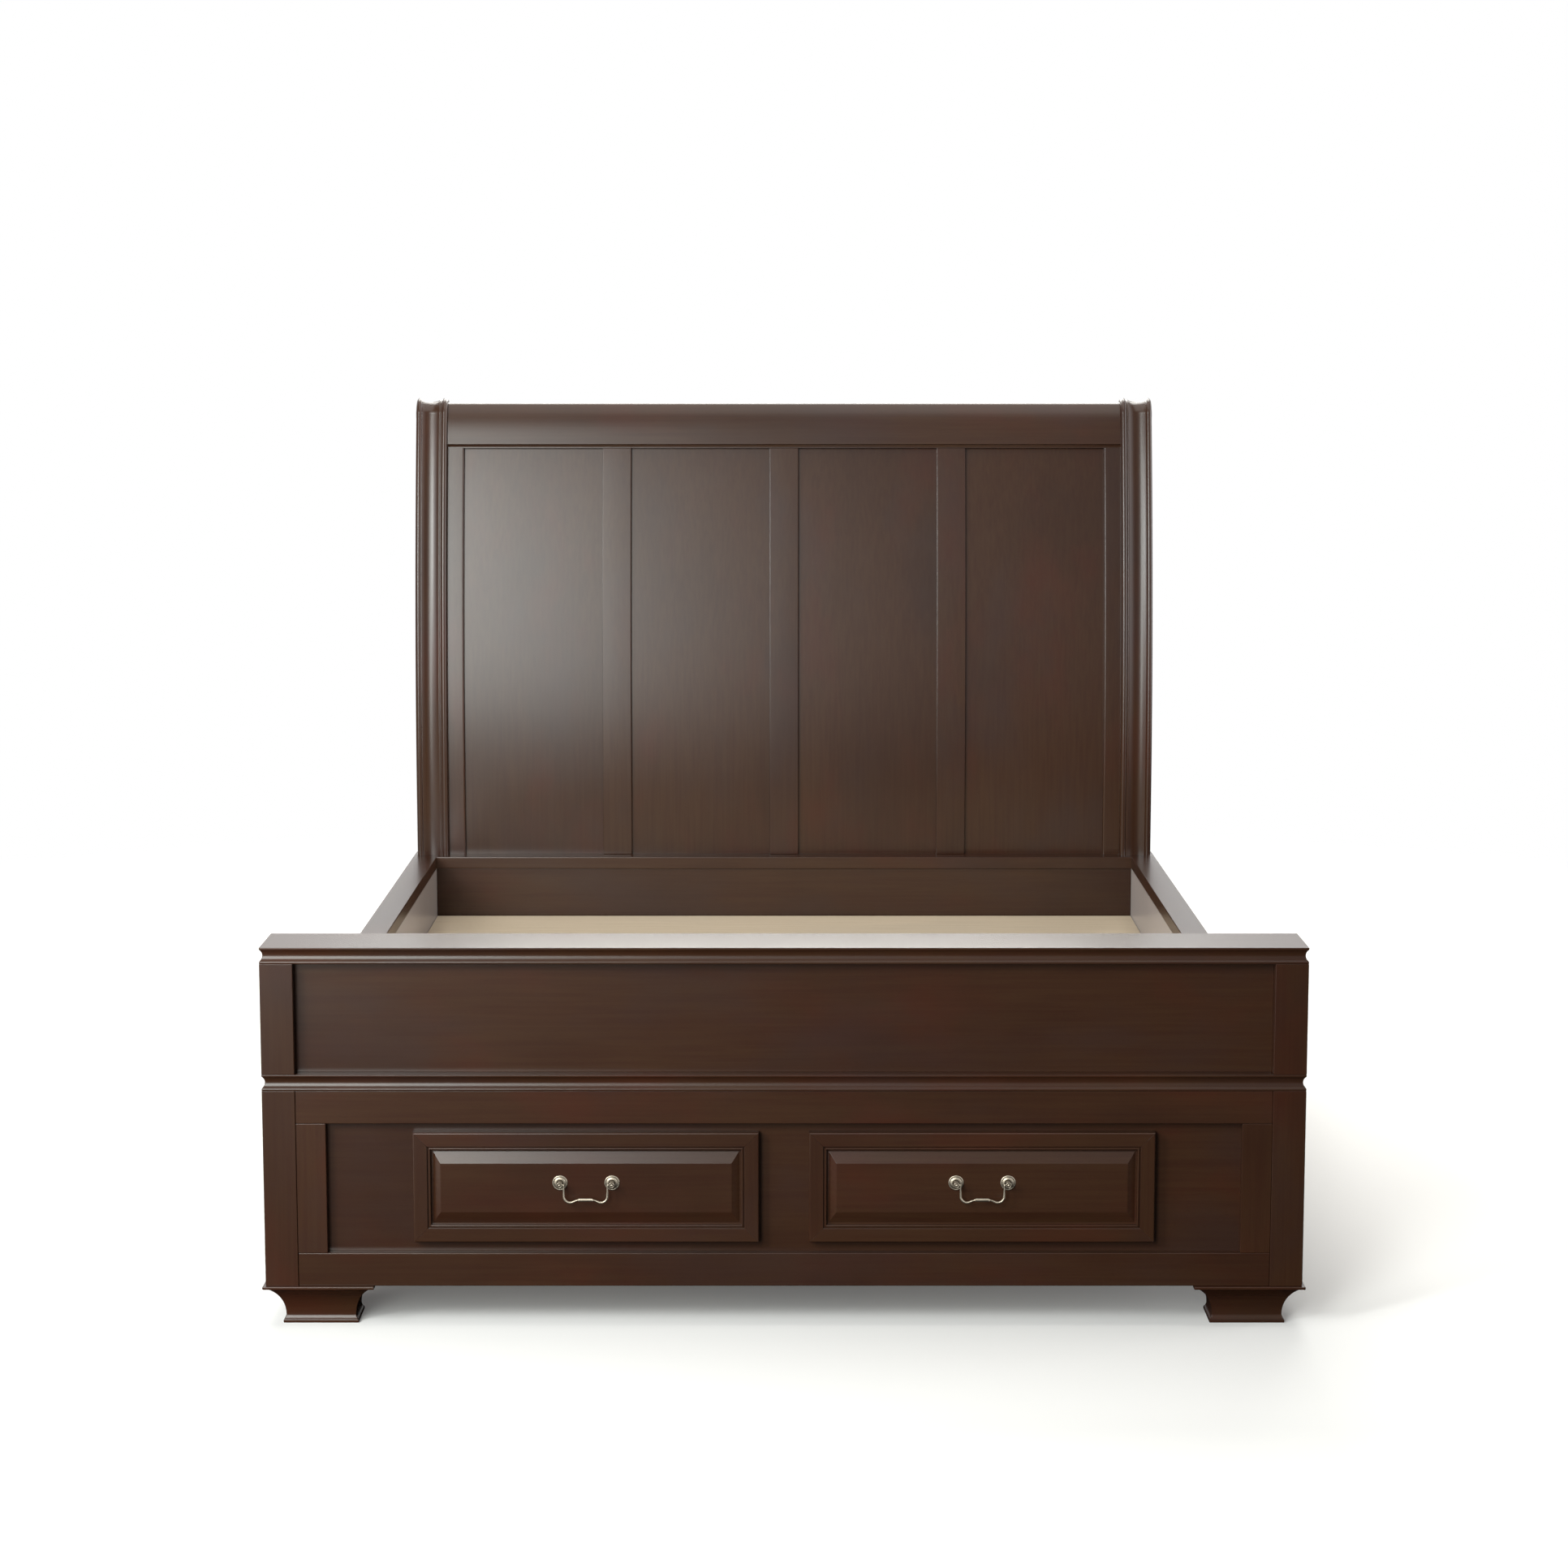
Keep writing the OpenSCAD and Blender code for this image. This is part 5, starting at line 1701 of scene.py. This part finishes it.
@dataclass
class Pull:
    """A drawer pull: two turned rosettes with their knobs, and the bail that hangs from them.

    The rows of the rosette give the height over the drawer's face, the radius, and how deep in a
    recess the place lies, from 0 to 1. Those of the knob give the height over the pivot instead.
    The rows of the bail give the distance from its middle, the height over the pivot, and the
    wire's radius. Those of its arm and of the pin start at the arm instead of the middle.
    """

    side: Side
    middle: float = 312.0
    height: float = 234.5
    apart: float = 82.0
    field: float = 1.6
    pivot: float = -13.4
    arm: float = 34.4
    bail_low: float = -28.3
    bend: float = 10.2
    grip: float = -24.0
    grip_half: float = 9.9
    grip_flat: float = 0.72
    grip_under: float = 15.0
    rosette: tuple[Point, ...] = (
        (0.0, 12.0, 0.6), (0.5, 12.0, 0.3), (1.1, 11.8, 0), (1.5, 11.2, 0), (1.6, 10.6, 0),
        (1.45, 10.1, 0.3), (1.15, 9.8, 1), (1.15, 9.5, 1), (1.6, 9.2, 0.4), (2.0, 8.6, 0),
        (2.4, 7.8, 0), (2.75, 6.8, 0), (2.9, 6.1, 0), (2.75, 5.6, 0.5), (2.2, 5.1, 1),
        (2.1, 4.4, 1), (2.6, 3.9, 0.9), (3.4, 3.3, 0.6), (4.6, 2.9, 0.2), (7.0, 2.6, 0.1),
    )
    knob: tuple[Point, ...] = (
        (-5.6, 2.7, 0.3), (-5.2, 3.3, 0.1), (-4.7, 3.5, 0), (-4.2, 3.2, 0.7), (-3.4, 3.2, 0.4),
        (-2.2, 4.0, 0), (-1.0, 4.5, 0), (0.4, 4.7, 0), (1.6, 4.6, 0), (2.3, 4.3, 0),
        (2.6, 3.8, 0), (2.4, 3.3, 0.5), (1.8, 2.9, 1), (1.8, 2.5, 1), (2.6, 2.2, 0.5),
        (3.4, 1.8, 0), (3.9, 1.1, 0), (4.1, 0.5, 0), (4.15, 0.0, 0),
    )
    arm_rows: tuple[Point, ...] = (
        (0, 1.2, 1.1), (0, 0.0, 1.5), (0, -5.0, 1.4), (-0.1, -10.0, 1.4), (-0.1, -15.0, 1.55),
    )
    grip_rows: tuple[Point, ...] = (
        (21.4, -27.9, 1.9), (18.8, -26.8, 1.7), (16.0, -25.5, 1.5), (13.6, -24.7, 1.4),
        (12.2, -24.4, 1.5), (11.6, -24.3, 2.1), (11.0, -24.3, 2.3), (10.4, -24.3, 2.1),
        (10.1, -24.2, 2.0), (9.7, -24.0, 2.55), (8.0, -24.0, 2.6), (0.0, -24.0, 2.6),
    )
    pin_rows: tuple[Flat, ...] = (
        (-1.0, 0.0), (-1.0, 0.9), (-0.6, 1.5), (0.4, 1.7), (1.3, 1.7), (1.6, 1.4), (1.6, 1.2),
        (8.0, 1.2), (8.0, 0.0),
    )

    @property
    def x(self) -> float:
        """The pull's middle along X."""
        return self.side.value * self.middle

    def build_rosettes(self) -> None:
        """Turns both rosettes with their knobs and marks their recesses for the finish."""
        reach = self.field - self.pivot
        rows = [*self.rosette, *((reach + h, radius, deep) for h, radius, deep in self.knob)]
        sides = []
        for end in ENDS:
            x = self.x + end * self.apart / 2
            points = [(x + radius, self.field - h, self.height) for h, radius, _ in rows]
            piece = Piece.outline(f"rosette_{end}", points, closed=False)
            piece.spin((x, 0, self.height), (0, 1, 0), steps=64)
            marks = piece.obj.data.attributes.new("recess", "FLOAT", "POINT")
            for vertex in piece.obj.data.vertices:
                at = off_bed(vertex.co)
                here = (self.field - at.y, math.hypot(at.x - x, at.z - self.height))
                nearest = min(rows, key=lambda row: math.dist(row[:2], here))
                marks.data[vertex.index].value = nearest[2]
            sides.append(piece)
        node = f"pull_rosettes_{self.side.word}"
        both = sides[0].joined(sides[1]).called(f"{node}_turned")
        both.dress(NICKEL, node, body=f"{self.side.word}_drawer", smooth=40)

    def bail_path(self) -> list[Point]:
        """Draws the right half of the bail's wire, from its arm to the grip.

        Returns:
            The distance from the middle, the height over the pivot and the wire's radius.
        """
        path = [(self.arm + x, z, radius) for x, z, radius in self.arm_rows]
        for turn in (math.radians(t) for t in range(-15, -91, -15)):
            x = self.arm - self.bend + self.bend * math.cos(turn)
            z = self.bail_low + self.bend + self.bend * math.sin(turn)
            path.append((x, z, 1.75 - 0.25 * math.sin(turn)))
        return path + list(self.grip_rows)

    def build_bail(self) -> None:
        """Sweeps a round section along the bail, flattens its grip and mirrors it."""
        node, path = f"bail_{self.side.word}", self.bail_path()
        put_down()
        x0, z0, r0 = path[0]
        start = on_bed(self.x + x0, self.pivot, self.height + z0)
        bpy.ops.mesh.primitive_circle_add(vertices=16, radius=r0 * MM, location=start)
        half = Piece.added(f"{node}_bent")
        half.all()
        before = math.radians(-90)
        for (x0, z0, r0), (x1, z1, r1), (x2, z2, _) in zip(path, path[1:], [*path[2:], path[-1]]):
            half.extrude(x=x1 - x0, z=z1 - z0)
            here = on_bed(self.x + x1, self.pivot, self.height + z1)
            after = math.atan2(z2 - z0, x2 - x0)
            turn = (after - before + math.pi) % (2 * math.pi) - math.pi
            bpy.ops.transform.rotate(value=turn, orient_axis="Y", center_override=here)
            bpy.ops.transform.resize(value=(r1 / r0,) * 3, center_override=here)
            before = after
        half.seal()
        half.pick(Pick.VERTS, self.is_grip)
        centre = on_bed(self.x, self.pivot, self.height + self.grip)
        bpy.ops.transform.resize(value=(1, self.grip_flat, 1), center_override=centre)
        half.joined(self.build_pin())
        twin = half.twin()
        twin.all()
        twin.flip(on_bed(self.x, self.pivot, self.height))
        half.joined(twin).dress(NICKEL, node, body=f"{self.side.word}_bail", smooth=45)

    def is_grip(self, at: Vector, _: Vector) -> bool:
        """Tells whether a place in bed millimetres lies in the bail's grip."""
        return abs(at.x - self.x) < self.grip_half and at.z < self.height - self.grip_under

    def build_pin(self) -> Piece:
        """Makes the right arm's pin with the small collar beside its knob.

        Returns:
            The pin.
        """
        rows = [(self.x + self.arm + x, self.pivot, self.height + r) for x, r in self.pin_rows]
        pin = Piece.outline("bail_pin", rows, closed=False)
        return pin.spin((self.x, self.pivot, self.height), (1, 0, 0), steps=24)

    def build(self) -> None:
        """Builds the pull."""
        self.build_rosettes()
        self.build_bail()


def main() -> None:
    """Builds the studio and the bed, piece by piece."""
    logging.basicConfig(level=logging.INFO, format="%(name)s: %(message)s")
    Studio().build()
    for part in (Headboard(), Footboard(), SideRails(), Platform()):
        part.build()
    for side in Side:
        Drawer(side).build()
        Pull(side).build()
    Board("slide_outer_members", ZINC, ease=0.25).build()


if __name__ == "__main__":
    main()
